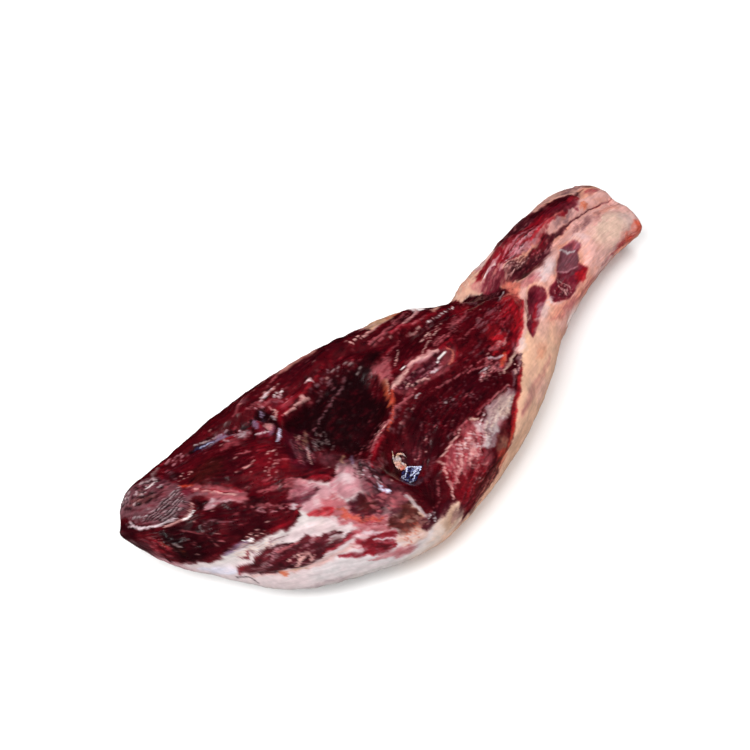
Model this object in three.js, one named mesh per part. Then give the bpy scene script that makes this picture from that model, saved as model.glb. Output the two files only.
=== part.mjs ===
// A whole boned Iberian ham, lying on its skin with the cut side up.
// Millimetres. +X runs along the ham from the rump to the shank, +Y to its far side, +Z up.
// The origin is under the middle of the box that holds the ham, on the surface it lies on.
import * as THREE from "three";

// The outline, at distances along the ham: the near and far edges, the underside and the top,
// and the waist, which is the share of the thickness at which the ham is widest.
const OUTLINE = [
  { x: -300, near: 76, far: 93, under: 28, top: 48, waist: 0.5 },
  { x: -288, near: 39, far: 106, under: 19, top: 55, waist: 0.5 },
  { x: -262, near: 4, far: 114, under: 10, top: 65, waist: 0.45 },
  { x: -222, near: -52, far: 116, under: 3, top: 77, waist: 0.42 },
  { x: -170, near: -85, far: 118, under: 0, top: 90, waist: 0.42 },
  { x: -100, near: -110, far: 115, under: 0, top: 98, waist: 0.42 },
  { x: -35, near: -104, far: 103, under: 0, top: 101, waist: 0.42 },
  { x: 30, near: -86, far: 89, under: 1, top: 98, waist: 0.45 },
  { x: 76, near: -66, far: 67, under: 4, top: 90, waist: 0.45 },
  { x: 106, near: -50, far: 76, under: 7, top: 84, waist: 0.47 },
  { x: 140, near: -28, far: 83, under: 10, top: 78, waist: 0.5 },
  { x: 200, near: -3, far: 95, under: 14, top: 72, waist: 0.5 },
  { x: 250, near: 10, far: 101, under: 15, top: 67, waist: 0.5 },
  { x: 285, near: 14, far: 95, under: 16, top: 58, waist: 0.5 },
  { x: 300, near: 15, far: 88, under: 18, top: 52, waist: 0.5 },
];
const RUMP_END = OUTLINE[0].x;
const SHANK_END = OUTLINE.at(-1).x;
const TIP_ROUND = 34; // length over which the rump's tip closes
const TIP_PLAIN = 22; // length over which the relief fades in from the tip
const CUT_ROUND = 7; // length over which the shank narrows to its cut end
const CUT_INSET = 0.12; // share of its size that the shank loses there
const CUT_LENGTH = 0.2; // depth of the cut face's own rings past the last ring of the side
const CUT_SLANT = 0.02; // the cut end leans back by this much for each millimetre across
const SLANT_START = 215;
const UPPER_POWER = 2.5; // squareness of the section above and below the waist
const LOWER_POWER = 2.1;
const FLAT_DEPTH = 3; // the skin side is pressed flat where it lies, by this much

// Mesh density: rings along the ham, and points round each ring.
const BODY_RINGS = 86;
const CUT_RINGS = [0.86, 0.6, 0.3]; // sizes of the rings on the cut end
const AROUND = 64;
const AROUND_UPPER = 44; // of these, the ones on the cut side
const FINE_STEPS = 160; // samples of a half section, from which its points are spaced evenly

// Relief of the cut side, in the unrolled plan: x along the ham, and q across it, measured
// over the surface from the ridge line, so that q is y on top of the ham.
const MOUNDS = [
  // muscles of the rump
  { at: [-190, 30], half: [58, 34], turn: -38, height: 7 },
  { at: [-232, 18], half: [38, 22], turn: -35, height: 5 },
  { at: [-262, 66], half: [30, 18], turn: -25, height: 4 },
  { at: [-200, -50], half: [48, 16], turn: -32, height: 6 },
  { at: [-128, -40], half: [22, 20], turn: 0, height: 8 },
  // long muscles of the thigh, from the hip to the knee
  { at: [-70, 84], half: [118, 20], turn: -6, height: 5 },
  { at: [10, 62], half: [90, 18], turn: -14, height: 6 },
  { at: [45, 18], half: [80, 26], turn: -4, height: 5 },
  { at: [-5, -72], half: [78, 36], turn: 12, height: 8 },
  { at: [88, 10], half: [34, 22], turn: 20, height: 4 },
  // muscles and joint of the shank
  { at: [200, 74], half: [76, 18], turn: 3, height: 6 },
  { at: [150, 60], half: [44, 14], turn: 16, height: 4 },
  { at: [240, 26], half: [52, 22], turn: 0, height: 4 },
  { at: [196, 16], half: [32, 17], turn: 18, height: -5 },
  { at: [132, 2], half: [26, 12], turn: 38, height: -4 },
  // the hollow that the thigh bone left
  { at: [-98, 22], half: [62, 46], turn: 12, height: -13 },
  { at: [-74, -50], half: [34, 32], turn: 0, height: -9 },
];
const SEAMS = [
  // ridges of pale seam between the muscles
  { path: [[-112, -34], [-70, -15], [-46, 14]], half: 8, height: 6 },
  { path: [[-142, 26], [-100, 44], [-52, 58]], half: 8, height: 4 },
  { path: [[-150, 66], [-112, 60], [-70, 74]], half: 8, height: 5 },
  { path: [[-44, 2], [-8, 10], [30, 8]], half: 10, height: 5 },
  // furrows
  { path: [[-236, 104], [-184, 90], [-150, 68]], half: 9, height: -8 },
  { path: [[-262, 44], [-222, 34], [-186, 6]], half: 8, height: -5 },
  { path: [[-246, -14], [-200, -30], [-150, -62]], half: 8, height: -5 },
  { path: [[-30, 82], [40, 64], [112, 40]], half: 8, height: -6 },
  { path: [[-20, 40], [40, 41], [104, 30]], half: 8, height: -4 },
  { path: [[-40, -30], [30, -25], [74, -30]], half: 8, height: -5 },
  { path: [[52, 64], [92, 56], [130, 40]], half: 8, height: -6 },
  // the slit between the two halves of the shank
  { path: [[306, 54], [250, 54], [200, 46], [132, 36]], half: 7, height: -9 },
];
// Steps: the ground falls on the right of the path by the drop, over the edge's width, and
// comes up again over the run. A step fades out towards both ends of its path.
const LEDGES = [
  {
    path: [[-160, 92], [-141, 34], [-126, -16], [-106, -58], [-92, -120]],
    drop: 13,
    edge: 19,
    run: 74,
  },
];
const MOUND_FULLNESS = 1.4; // how soon a mound reaches its height, from its edge inwards
const END_FADE = 0.18; // share of a step's path over which it fades at each end
// The cut side is where the surface faces up: the relief starts where the upward part of its
// normal passes the first number, and is full at the second.
const CUT_SIDE_FROM = -0.1;
const CUT_SIDE_FULL = 0.4;

const lerp = THREE.MathUtils.lerp;
const smooth = (t) => THREE.MathUtils.smoothstep(t, 0, 1);
const signedPower = (c, power) => Math.sign(c) * Math.abs(c) ** (2 / power);

// A smooth curve through one named size of the outline.
function outlineCurve(size) {
  const curve = new THREE.CubicInterpolant(
    OUTLINE.map((station) => station.x),
    OUTLINE.map((station) => station[size]),
    1,
  );
  return (x) => curve.evaluate(THREE.MathUtils.clamp(x, RUMP_END, SHANK_END))[0];
}
const nearEdge = outlineCurve("near");
const farEdge = outlineCurve("far");
const underside = outlineCurve("under");
const topside = outlineCurve("top");
const waistShare = outlineCurve("waist");

// How far the cut end leans back at a place across the shank.
function slant(x, y) {
  const share = THREE.MathUtils.clamp((x - SLANT_START) / (SHANK_END - SLANT_START), 0, 1);
  return share * share * CUT_SLANT * (y - nearEdge(SHANK_END));
}

// A function that gives the point of the smooth section across the ham at an angle, counted from
// the far edge over the top. Size shrinks the section towards its middle, where an end closes.
function section(x, size) {
  const near = nearEdge(x);
  const far = farEdge(x);
  const under = underside(x);
  const top = topside(x);
  const waist = lerp(under, top, waistShare(x));
  return (angle) => {
    const upper = Math.sin(angle) > 0;
    const power = upper ? UPPER_POWER : LOWER_POWER;
    const reach = (upper ? top - waist : waist - under + FLAT_DEPTH) * size;
    const y = (near + far) / 2 + ((far - near) / 2) * size * signedPower(Math.cos(angle), power);
    const z = waist + reach * signedPower(Math.sin(angle), power);
    return new THREE.Vector3(x - slant(x, y), y, z);
  };
}

// Evenly spaced points along a stretch of a section, without the one at its end.
function evenPoints(pointAt, startAngle, endAngle, count) {
  const fine = [];
  const reached = [];
  for (let i = 0; i <= FINE_STEPS; i++) {
    fine.push(pointAt(lerp(startAngle, endAngle, i / FINE_STEPS)));
    reached.push(i === 0 ? 0 : reached[i - 1] + fine[i].distanceTo(fine[i - 1]));
  }
  const points = [];
  let step = 0;
  for (let k = 0; k < count; k++) {
    const goal = (reached[FINE_STEPS] * k) / count;
    while (reached[step + 1] < goal) step++;
    const part = (goal - reached[step]) / (reached[step + 1] - reached[step]);
    points.push(fine[step].clone().lerp(fine[step + 1], part));
  }
  return points;
}

function ring(x, size) {
  const pointAt = section(x, size);
  return [
    ...evenPoints(pointAt, 0, Math.PI, AROUND_UPPER),
    ...evenPoints(pointAt, Math.PI, 2 * Math.PI, AROUND - AROUND_UPPER),
  ];
}

// The rings from the rump's tip to the shank's cut end.
function allRings() {
  const rings = [];
  for (let i = 1; i <= BODY_RINGS; i++) {
    const x = lerp(RUMP_END, SHANK_END - CUT_LENGTH, i / BODY_RINGS);
    const tip = Math.min((x - RUMP_END) / TIP_ROUND, 1);
    const cut = Math.max((x - (SHANK_END - CUT_ROUND)) / CUT_ROUND, 0);
    const rounding = 1 - (1 - Math.sqrt(1 - cut * cut)) * CUT_INSET;
    rings.push(ring(x, Math.sqrt(1 - (1 - tip) ** 2) * rounding));
  }
  CUT_RINGS.forEach((size) => rings.push(ring(SHANK_END, size)));
  return rings;
}

// The place across the ham, over the surface, of each point of a ring.
function acrossOf(points) {
  const crest = AROUND_UPPER / 2;
  const across = new Array(AROUND);
  across[crest] = points[crest].y;
  for (const side of [1, -1]) {
    for (let k = 1; k <= AROUND / 2; k++) {
      const here = (crest + side * k + AROUND) % AROUND;
      const before = (crest + side * (k - 1) + AROUND) % AROUND;
      across[here] = across[before] - side * points[here].distanceTo(points[before]);
    }
  }
  return across;
}

const PATH_STEPS = 7; // pieces of a curve between two places of its path

// Points along the smooth curve through the places of a path.
function pathPoints(path) {
  const places = path.map(([x, q]) => new THREE.Vector2(x, q));
  return new THREE.SplineCurve(places).getPoints(PATH_STEPS * (path.length - 1));
}

// Distance to a path, with a sign: positive on its left, towards +q for a path along +x. And the
// share of the path, from 0 to 1, at which the nearest point lies.
function nearestOn(points, x, q) {
  let best = Infinity;
  let side = 1;
  let share = 0;
  const last = points.length - 1;
  for (let i = 0; i < last; i++) {
    const along = new THREE.Vector2().subVectors(points[i + 1], points[i]);
    const off = new THREE.Vector2(x - points[i].x, q - points[i].y);
    const part = THREE.MathUtils.clamp(off.dot(along) / along.lengthSq(), 0, 1);
    const distance = Math.hypot(off.x - along.x * part, off.y - along.y * part);
    if (distance < best) {
      best = distance;
      side = Math.sign(along.x * off.y - along.y * off.x) || 1;
      share = (i + part) / last;
    }
  }
  return { distance: best * side, share };
}

function moundHeight({ at, half, turn, height }, x, q) {
  const angle = THREE.MathUtils.degToRad(turn);
  const dx = x - at[0];
  const dq = q - at[1];
  const along = (dx * Math.cos(angle) + dq * Math.sin(angle)) / half[0];
  const over = (dq * Math.cos(angle) - dx * Math.sin(angle)) / half[1];
  const room = Math.max(1 - along * along - over * over, 0);
  return height * smooth(room * MOUND_FULLNESS);
}

const withPoints = (item) => ({ ...item, points: pathPoints(item.path) });
const SEAM_LINES = SEAMS.map(withPoints);
const LEDGE_LINES = LEDGES.map(withPoints);

function seamHeight({ points, half, height }, x, q) {
  const { distance } = nearestOn(points, x, q);
  return height * Math.exp(-((distance / half) ** 2));
}

// The path runs from the far side to the near side, so the ground falls towards the shank.
function ledgeHeight({ points, drop, edge, run }, x, q) {
  const { distance, share } = nearestOn(points, x, q);
  if (distance <= 0) return 0;
  const fade = smooth(share / END_FADE) * smooth((1 - share) / END_FADE);
  return -drop * fade * smooth(distance / edge) * (1 - smooth(distance / run));
}

// Relief at a place of the unrolled plan.
function relief(x, q) {
  const sum = (items, height) => items.reduce((total, item) => total + height(item, x, q), 0);
  return sum(MOUNDS, moundHeight) + sum(SEAM_LINES, seamHeight) + sum(LEDGE_LINES, ledgeHeight);
}

// Points of the surface: the smooth rings, raised along their normals where the cut side is,
// and pressed flat where the ham lies.
function surfacePoints() {
  const rings = allRings();
  const last = rings.length - 1;
  return rings.map((points, r) => {
    const across = acrossOf(points);
    return points.map((point, i) => {
      const lengthwise = new THREE.Vector3().subVectors(
        rings[Math.min(r + 1, last)][i],
        rings[Math.max(r - 1, 0)][i],
      );
      const crosswise = new THREE.Vector3().subVectors(
        points[(i + 1) % AROUND],
        points[(i + AROUND - 1) % AROUND],
      );
      const normal = new THREE.Vector3().crossVectors(crosswise, lengthwise).normalize();
      const facing = (normal.z - CUT_SIDE_FROM) / (CUT_SIDE_FULL - CUT_SIDE_FROM);
      const share = smooth(facing) * smooth((point.x - RUMP_END) / TIP_PLAIN);
      const raised = point.clone().addScaledVector(normal, share * relief(point.x, across[i]));
      raised.z = Math.max(raised.z, 0);
      return raised;
    });
  });
}

// A closed skin over the rings, with a fan at each end.
function skin(rings, firstPole, lastPole) {
  const positions = [firstPole, ...rings.flat(), lastPole].flatMap((p) => p.toArray());
  const id = (r, i) => 1 + r * AROUND + (i % AROUND);
  const end = 1 + rings.length * AROUND;
  const faces = [];
  for (let i = 0; i < AROUND; i++) {
    faces.push(0, id(0, i + 1), id(0, i));
    for (let r = 0; r < rings.length - 1; r++) {
      const next = (i + 1) % AROUND;
      const [a, b, c, d] = [id(r, i), id(r, i + 1), id(r + 1, i + 1), id(r + 1, i)];
      // Each four-sided cell is split along its shorter diagonal, which keeps furrows clean.
      const first = rings[r][i].distanceTo(rings[r + 1][next]);
      const second = rings[r][next].distanceTo(rings[r + 1][i]);
      faces.push(...(first < second ? [a, b, c, a, c, d] : [a, b, d, b, c, d]));
    }
    faces.push(id(rings.length - 1, i), id(rings.length - 1, i + 1), end);
  }
  const geometry = new THREE.BufferGeometry();
  geometry.setAttribute("position", new THREE.Float32BufferAttribute(positions, 3));
  geometry.setIndex(faces);
  return geometry;
}

const middleOf = (points) =>
  points.reduce((sum, p) => sum.add(p), new THREE.Vector3()).divideScalar(points.length);

function hamMesh() {
  const rings = surfacePoints();
  const tip = middleOf(rings[0]);
  tip.x = RUMP_END;
  const geometry = skin(rings, tip, middleOf(rings.at(-1)));
  geometry.computeBoundingBox();
  const centre = geometry.boundingBox.getCenter(new THREE.Vector3());
  geometry.translate(-centre.x, -centre.y, 0);
  geometry.computeVertexNormals();
  const meat = new THREE.MeshStandardMaterial({ color: 0x5a0f16, roughness: 0.35, metalness: 0 });
  const mesh = new THREE.Mesh(geometry, meat);
  mesh.name = "ham";
  return mesh;
}

const ham = new THREE.Group();
ham.add(hamMesh());
export default ham;
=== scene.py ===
"""A whole boned ham that lies on its skin, cut side up, on a pale floor.

The ham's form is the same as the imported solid's: rings across it, at distances along it, with
the relief of the cut side raised along their normals. Everything on the surface is placed in
an unrolled plan, in millimetres: x along the ham from the rump to the shank, and q across it,
measured over the surface from the ridge line, so that q is y on top of the ham.
"""
import itertools
import logging
import math
from dataclasses import dataclass
from enum import Enum

import bpy
import numpy as np
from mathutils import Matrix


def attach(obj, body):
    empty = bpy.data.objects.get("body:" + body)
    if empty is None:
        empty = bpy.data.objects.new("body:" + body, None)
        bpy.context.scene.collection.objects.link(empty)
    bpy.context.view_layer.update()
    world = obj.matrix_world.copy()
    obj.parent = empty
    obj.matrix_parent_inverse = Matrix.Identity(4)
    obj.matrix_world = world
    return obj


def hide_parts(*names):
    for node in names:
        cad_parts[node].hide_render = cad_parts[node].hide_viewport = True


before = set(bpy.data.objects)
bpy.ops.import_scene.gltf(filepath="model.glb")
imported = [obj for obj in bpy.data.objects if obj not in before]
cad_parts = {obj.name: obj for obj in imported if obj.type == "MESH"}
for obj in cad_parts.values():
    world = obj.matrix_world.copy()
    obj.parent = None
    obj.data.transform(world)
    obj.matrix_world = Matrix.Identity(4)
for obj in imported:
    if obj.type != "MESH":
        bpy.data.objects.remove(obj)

LOG = logging.getLogger("ham")
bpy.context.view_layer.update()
MM = 0.001
PLAN_CENTRE = (0.47, 3.54)  # the middle of the outline's own box, which is the frame's origin

Array = np.ndarray
Place = tuple[float, float]
Path = tuple[Place, ...]


def smooth(share: Array) -> Array:
    """Eases a share that runs from 0 to 1, and holds it within them."""
    held = np.clip(share, 0.0, 1.0)
    return held * held * (3.0 - 2.0 * held)


def spline(places: Path, closed: bool = False, steps: int = 7) -> Array:
    """Points along the smooth curve through some places of the plan.

    Args:
        places: The places, in order.
        closed: Whether the curve comes back to its first place.
        steps: Pieces of the curve between two places.

    Returns:
        One row of x and q for each point.
    """
    knots = np.array(places, float)
    if closed:
        knots = np.concatenate([knots[-1:], knots, knots[:2]])
    else:
        knots = np.concatenate([knots[:1], knots, knots[-1:]])
    points = []
    for before, start, end, after in zip(knots, knots[1:], knots[2:], knots[3:]):
        leave, arrive = (end - before) / 2, (after - start) / 2
        for part in np.arange(steps) / steps:
            cubic = (2 * start - 2 * end + leave + arrive) * part**3
            square = (3 * end - 3 * start - 2 * leave - arrive) * part**2
            points.append(cubic + square + leave * part + start)
    points.append(knots[-2])
    return np.array(points)


def on_line(line: Array, spot: Array) -> Array:
    """The places of a line at some spots, counted from its start in its points."""
    numbers = np.arange(len(line))
    return np.stack([np.interp(spot, numbers, line[:, axis]) for axis in (0, 1)], -1)


def nearest(line: Array, x: Array, q: Array) -> tuple[Array, Array, Array]:
    """Finds how far places of the plan are from a line.

    Args:
        line: The line's points.
        x: Where the places are along the ham.
        q: Where they are across it.

    Returns:
        The distances, the side (1 on the line's left and -1 on its right), and the share of
        the line at which its nearest point lies.
    """
    best = np.full(x.shape, 1e9)
    side = np.ones(x.shape)
    share = np.zeros(x.shape)
    last = len(line) - 1
    for i in range(last):
        along = line[i + 1] - line[i]
        off_x, off_q = x - line[i][0], q - line[i][1]
        part = (off_x * along[0] + off_q * along[1]) / (along @ along + 1e-9)
        part = np.clip(part, 0.0, 1.0)
        distance = np.hypot(off_x - along[0] * part, off_q - along[1] * part)
        closer = distance < best
        best = np.where(closer, distance, best)
        left = along[0] * off_q - along[1] * off_x >= 0
        side = np.where(closer, np.where(left, 1.0, -1.0), side)
        share = np.where(closer, (i + part) / last, share)
    return best, side, share


def inside(line: Array, x: Array, q: Array) -> Array:
    """Says which places of the plan lie inside a closed line.

    Args:
        line: The line's points, the first one again at the end.
        x: Where the places are along the ham.
        q: Where they are across it.

    Returns:
        True for each place that lies inside.
    """
    found = np.zeros(x.shape, bool)
    for (x0, q0), (x1, q1) in zip(line, line[1:]):
        if q0 == q1:
            continue
        crossing = (q0 > q) != (q1 > q)
        found ^= crossing & (x < x0 + (x1 - x0) * (q - q0) / (q1 - q0))
    return found


class Noise:
    """Smooth seeded noise in three dimensions, from about -1 to 1."""

    FULL = 1.6  # brings the noise up to about 1
    LAYER_OFFSET = 17.0  # how far the places of one layer are from those of the last

    def __init__(self, seed: int) -> None:
        """Draws the slopes of the noise's lattice.

        Args:
            seed: The seed of the draw.
        """
        draw = np.random.default_rng(seed)
        self.order = np.tile(draw.permutation(256), 2)
        slopes = draw.normal(size=(256, 3))
        self.slopes = slopes / np.linalg.norm(slopes, axis=1, keepdims=True)

    def at(self, points: Array) -> Array:
        """Works out the noise at some points.

        Args:
            points: One row of three coordinates for each point, in cells of the lattice.

        Returns:
            The noise at each point.
        """
        cell = np.floor(points).astype(int)
        part = points - cell
        cell &= 255
        ease = part**3 * (part * (part * 6 - 15) + 10)
        total = np.zeros(len(points))
        for corner in itertools.product((0, 1), repeat=3):
            place = (cell + corner) & 255
            chain = self.order[self.order[place[:, 0]] + place[:, 1]]
            slope = self.slopes[self.order[chain + place[:, 2]]]
            weight = np.prod(np.where(corner, ease, 1 - ease), axis=1)
            total += weight * ((part - corner) * slope).sum(axis=1)
        return total * self.FULL

    def layered(self, points: Array, layers: int) -> Array:
        """Adds up finer and finer noise, each layer half as strong as the one before.

        Args:
            points: One row of three coordinates for each point.
            layers: The number of layers.

        Returns:
            The sum at each point.
        """
        total = np.zeros(len(points))
        for layer in range(layers):
            total += self.at(points * 2.0**layer + self.LAYER_OFFSET * layer) * 0.5**layer
        return total


@dataclass(frozen=True)
class Station:
    """The outline at one distance along the ham, in millimetres.

    The waist is the share of the thickness at which the ham is widest.
    """

    x: float
    near: float
    far: float
    under: float
    top: float
    waist: float


OUTLINE: tuple[Station, ...] = (
    Station(-300, 76, 93, 28, 48, 0.5),
    Station(-288, 39, 106, 19, 55, 0.5),
    Station(-262, 4, 114, 10, 65, 0.45),
    Station(-222, -52, 116, 3, 77, 0.42),
    Station(-170, -85, 118, 0, 90, 0.42),
    Station(-100, -110, 115, 0, 98, 0.42),
    Station(-35, -104, 103, 0, 101, 0.42),
    Station(30, -86, 89, 1, 98, 0.45),
    Station(76, -66, 67, 4, 90, 0.45),
    Station(106, -50, 76, 7, 84, 0.47),
    Station(140, -28, 83, 10, 78, 0.5),
    Station(200, -3, 95, 14, 72, 0.5),
    Station(250, 10, 101, 15, 67, 0.5),
    Station(285, 14, 95, 16, 58, 0.5),
    Station(300, 15, 88, 18, 52, 0.5),
)


@dataclass(frozen=True)
class Mound:
    """A rounded rise or hollow, on a turned ellipse of the plan."""

    at: Place
    half: Place
    turn: float
    height: float
    fullness: float = 1.4

    def height_at(self, x: Array, q: Array) -> Array:
        """How far it raises the surface at some places.

        Args:
            x: Where the places are along the ham.
            q: Where they are across it.

        Returns:
            The height at each place, in millimetres.
        """
        angle = math.radians(self.turn)
        dx, dq = x - self.at[0], q - self.at[1]
        along = (dx * math.cos(angle) + dq * math.sin(angle)) / self.half[0]
        over = (dq * math.cos(angle) - dx * math.sin(angle)) / self.half[1]
        room = np.maximum(1 - along**2 - over**2, 0)
        return self.height * smooth(room * self.fullness)


@dataclass(frozen=True)
class Seam:
    """A ridge or a furrow along a path."""

    path: Path
    half: float
    height: float

    def height_at(self, x: Array, q: Array) -> Array:
        """How far it raises the surface at some places."""
        distance, _, _ = nearest(spline(self.path), x, q)
        return self.height * np.exp(-((distance / self.half) ** 2))


@dataclass(frozen=True)
class Ledge:
    """A step: the ground falls on the left of the path, and comes up again over the run."""

    path: Path
    drop: float
    edge: float
    run: float
    fade: float = 0.18

    def height_at(self, x: Array, q: Array) -> Array:
        """How far it raises the surface at some places.

        Args:
            x: Where the places are along the ham.
            q: Where they are across it.

        Returns:
            The height at each place, in millimetres.
        """
        distance, side, share = nearest(spline(self.path), x, q)
        ends = smooth(share / self.fade) * smooth((1 - share) / self.fade)
        step = smooth(distance / self.edge) * (1 - smooth(distance / self.run))
        return np.where(side > 0, -self.drop * ends * step, 0.0)


MAIN_RELIEF: tuple[Mound | Seam | Ledge, ...] = (
    # muscles of the rump
    Mound((-190, 30), (58, 34), -38, 7),
    Mound((-232, 18), (38, 22), -35, 5),
    Mound((-262, 66), (30, 18), -25, 4),
    Mound((-200, -50), (48, 16), -32, 6),
    Mound((-128, -40), (22, 20), 0, 8),
    # long muscles of the thigh, from the hip to the knee
    Mound((-70, 84), (118, 20), -6, 5),
    Mound((10, 62), (90, 18), -14, 6),
    Mound((45, 18), (80, 26), -4, 5),
    Mound((-5, -72), (78, 36), 12, 8),
    Mound((88, 10), (34, 22), 20, 4),
    # muscles and joint of the shank
    Mound((200, 74), (76, 18), 3, 6),
    Mound((150, 60), (44, 14), 16, 4),
    Mound((240, 26), (52, 22), 0, 4),
    Mound((196, 16), (32, 17), 18, -5),
    Mound((132, 2), (26, 12), 38, -4),
    # the hollow that the thigh bone left
    Mound((-98, 22), (62, 46), 12, -13),
    Mound((-74, -50), (34, 32), 0, -9),
    # ridges of pale seam between the muscles
    Seam(((-112, -34), (-70, -15), (-46, 14)), 8, 6),
    Seam(((-142, 26), (-100, 44), (-52, 58)), 8, 4),
    Seam(((-150, 66), (-112, 60), (-70, 74)), 8, 5),
    Seam(((-44, 2), (-8, 10), (30, 8)), 10, 5),
    # furrows
    Seam(((-236, 104), (-184, 90), (-150, 68)), 9, -8),
    Seam(((-262, 44), (-222, 34), (-186, 6)), 8, -5),
    Seam(((-246, -14), (-200, -30), (-150, -62)), 8, -5),
    Seam(((-30, 82), (40, 64), (112, 40)), 8, -6),
    Seam(((-20, 40), (40, 41), (104, 30)), 8, -4),
    Seam(((-40, -30), (30, -25), (74, -30)), 8, -5),
    Seam(((52, 64), (92, 56), (130, 40)), 8, -6),
    # the slit between the two halves of the shank
    Seam(((306, 54), (250, 54), (200, 46), (132, 36)), 7, -9),
    # the steep wall on the rump's side of the hollow
    Ledge(((-160, 92), (-141, 34), (-126, -16), (-106, -58), (-92, -120)), 13, 19, 74),
)


@dataclass
class HamForm:
    """The ham's smooth rings and the relief on them, in millimetres.

    The rings run from the rump's tip to the middle of the shank's cut face. The points of a
    ring start at the far edge and run over the top, with most of them on the cut side.
    """

    rings: int = 418
    cap_rings: int = 9
    around: int = 236
    around_upper: int = 194
    tip_round: float = 34.0
    tip_plain: float = 22.0
    cut_round: float = 7.0
    cut_inset: float = 0.12
    cut_length: float = 0.2
    cut_slant: float = 0.02
    slant_start: float = 215.0
    upper_power: float = 2.5
    lower_power: float = 2.1
    flat_depth: float = 3.0
    cut_side_from: float = -0.1
    cut_side_full: float = 0.4
    fine_steps: int = 300

    def curve(self, size: str, x: Array) -> Array:
        """Works out one size of the outline, smoothly between its stations.

        Args:
            size: The name of the station's field.
            x: The distances along the ham.

        Returns:
            The size at each distance.
        """
        at = np.array([station.x for station in OUTLINE])
        value = np.array([getattr(station, size) for station in OUTLINE], float)
        slope = np.empty_like(value)
        slope[1:-1] = (value[2:] - value[:-2]) / (at[2:] - at[:-2])
        first = (value[1] - value[0]) / (at[1] - at[0])
        last = (value[-1] - value[-2]) / (at[-1] - at[-2])
        slope[0] = 1.5 * first - 0.5 * slope[1]
        slope[-1] = 1.5 * last - 0.5 * slope[-2]
        x = np.clip(x, at[0], at[-1])
        i = np.clip(np.searchsorted(at, x, side="right") - 1, 0, len(at) - 2)
        span = at[i + 1] - at[i]
        t = (x - at[i]) / span
        rise = (3 * t**2 - 2 * t**3) * (value[i + 1] - value[i])
        lean = span * ((t**3 - 2 * t**2 + t) * slope[i] + (t**3 - t**2) * slope[i + 1])
        return value[i] + rise + lean

    def half_section(self, x: float, size: float, start: float, end: float, count: int) -> Array:
        """Evenly spaced points along half of the section across the ham.

        Args:
            x: The distance along the ham.
            size: The share of its full size that the section has.
            start: The angle of the first point, from the far edge over the top.
            end: The angle at which the next half starts.
            count: The number of points.

        Returns:
            One row of three coordinates for each point.
        """
        spot = np.array([x])
        names = ("near", "far", "under", "top", "waist")
        near, far, under, top, share = (float(self.curve(n, spot)[0]) for n in names)
        waist = under + (top - under) * share
        upper = start < 1.0
        power = self.upper_power if upper else self.lower_power
        reach = top - waist if upper else waist - under + self.flat_depth
        angle = np.linspace(start, end, self.fine_steps)
        across, rise = np.cos(angle), np.sin(angle)
        y = np.sign(across) * np.abs(across) ** (2 / power) * size * (far - near) / 2
        y += (near + far) / 2
        z = waist + reach * size * np.sign(rise) * np.abs(rise) ** (2 / power)
        back = np.clip((x - self.slant_start) / (OUTLINE[-1].x - self.slant_start), 0, 1)
        lean = back * back * self.cut_slant * (y - OUTLINE[-1].near)
        fine = np.stack([x - lean, y, z], -1)
        steps = np.linalg.norm(np.diff(fine, axis=0), axis=1)
        reached = np.concatenate([[0.0], np.cumsum(steps)])
        goals = reached[-1] * np.arange(count) / count
        return np.stack([np.interp(goals, reached, fine[:, k]) for k in range(3)], -1)

    def ring(self, x: float, size: float) -> Array:
        """Lays out the points of one whole section.

        Args:
            x: The distance along the ham.
            size: The share of its full size that the section has.

        Returns:
            One row of three coordinates for each point.
        """
        lower = self.around - self.around_upper
        return np.concatenate(
            [
                self.half_section(x, size, 0.0, math.pi, self.around_upper),
                self.half_section(x, size, math.pi, 2 * math.pi, lower),
            ]
        )

    def base(self) -> Array:
        """Lays out the smooth rings, without relief.

        Returns:
            An array of rings by points by three coordinates.
        """
        start, end = OUTLINE[0].x, OUTLINE[-1].x
        found = []
        body = self.rings - self.cap_rings
        for i in range(1, body + 1):
            x = start + (end - self.cut_length - start) * i / body
            tip = min((x - start) / self.tip_round, 1.0)
            cut = max((x - (end - self.cut_round)) / self.cut_round, 0.0)
            rounding = 1 - (1 - math.sqrt(1 - cut * cut)) * self.cut_inset
            found.append(self.ring(x, math.sqrt(1 - (1 - tip) ** 2) * rounding))
        full = 1 - self.cut_inset
        for i in range(1, self.cap_rings + 1):
            found.append(self.ring(end, full * (1 - i / (self.cap_rings + 1))))
        return np.array(found)

    def across(self, base: Array) -> Array:
        """Measures where the points lie across the ham, over the surface.

        Args:
            base: The smooth rings.

        Returns:
            The place q of each point of each ring.
        """
        crest = self.around_upper // 2
        gap = np.linalg.norm(np.roll(base, -1, 1) - base, axis=-1)
        q = np.zeros(base.shape[:2])
        q[:, crest] = base[:, crest, 1]
        for k in range(1, self.around // 2 + 1):
            here, before = (crest + k) % self.around, (crest + k - 1) % self.around
            q[:, here] = q[:, before] - gap[:, before]
        for k in range(1, self.around // 2):
            here, before = (crest - k) % self.around, (crest - k + 1) % self.around
            q[:, here] = q[:, before] + gap[:, here]
        return q

    def normals(self, base: Array) -> Array:
        """Works out which way the surface faces.

        Args:
            base: The smooth rings.

        Returns:
            The outward unit normal at each point of each ring.
        """
        crosswise = np.roll(base, -1, 1) - np.roll(base, 1, 1)
        normal = np.cross(crosswise, np.gradient(base, axis=0))
        return normal / (np.linalg.norm(normal, axis=-1, keepdims=True) + 1e-9)

    def cut_side(self, base: Array, normal: Array) -> Array:
        """Says how far each point belongs to the cut side.

        Args:
            base: The smooth rings.
            normal: Their outward unit normals.

        Returns:
            A share from 0 to 1 for each point of each ring.
        """
        span = self.cut_side_full - self.cut_side_from
        facing = smooth((normal[..., 2] - self.cut_side_from) / span)
        return facing * smooth((base[..., 0] - OUTLINE[0].x) / self.tip_plain)

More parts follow.
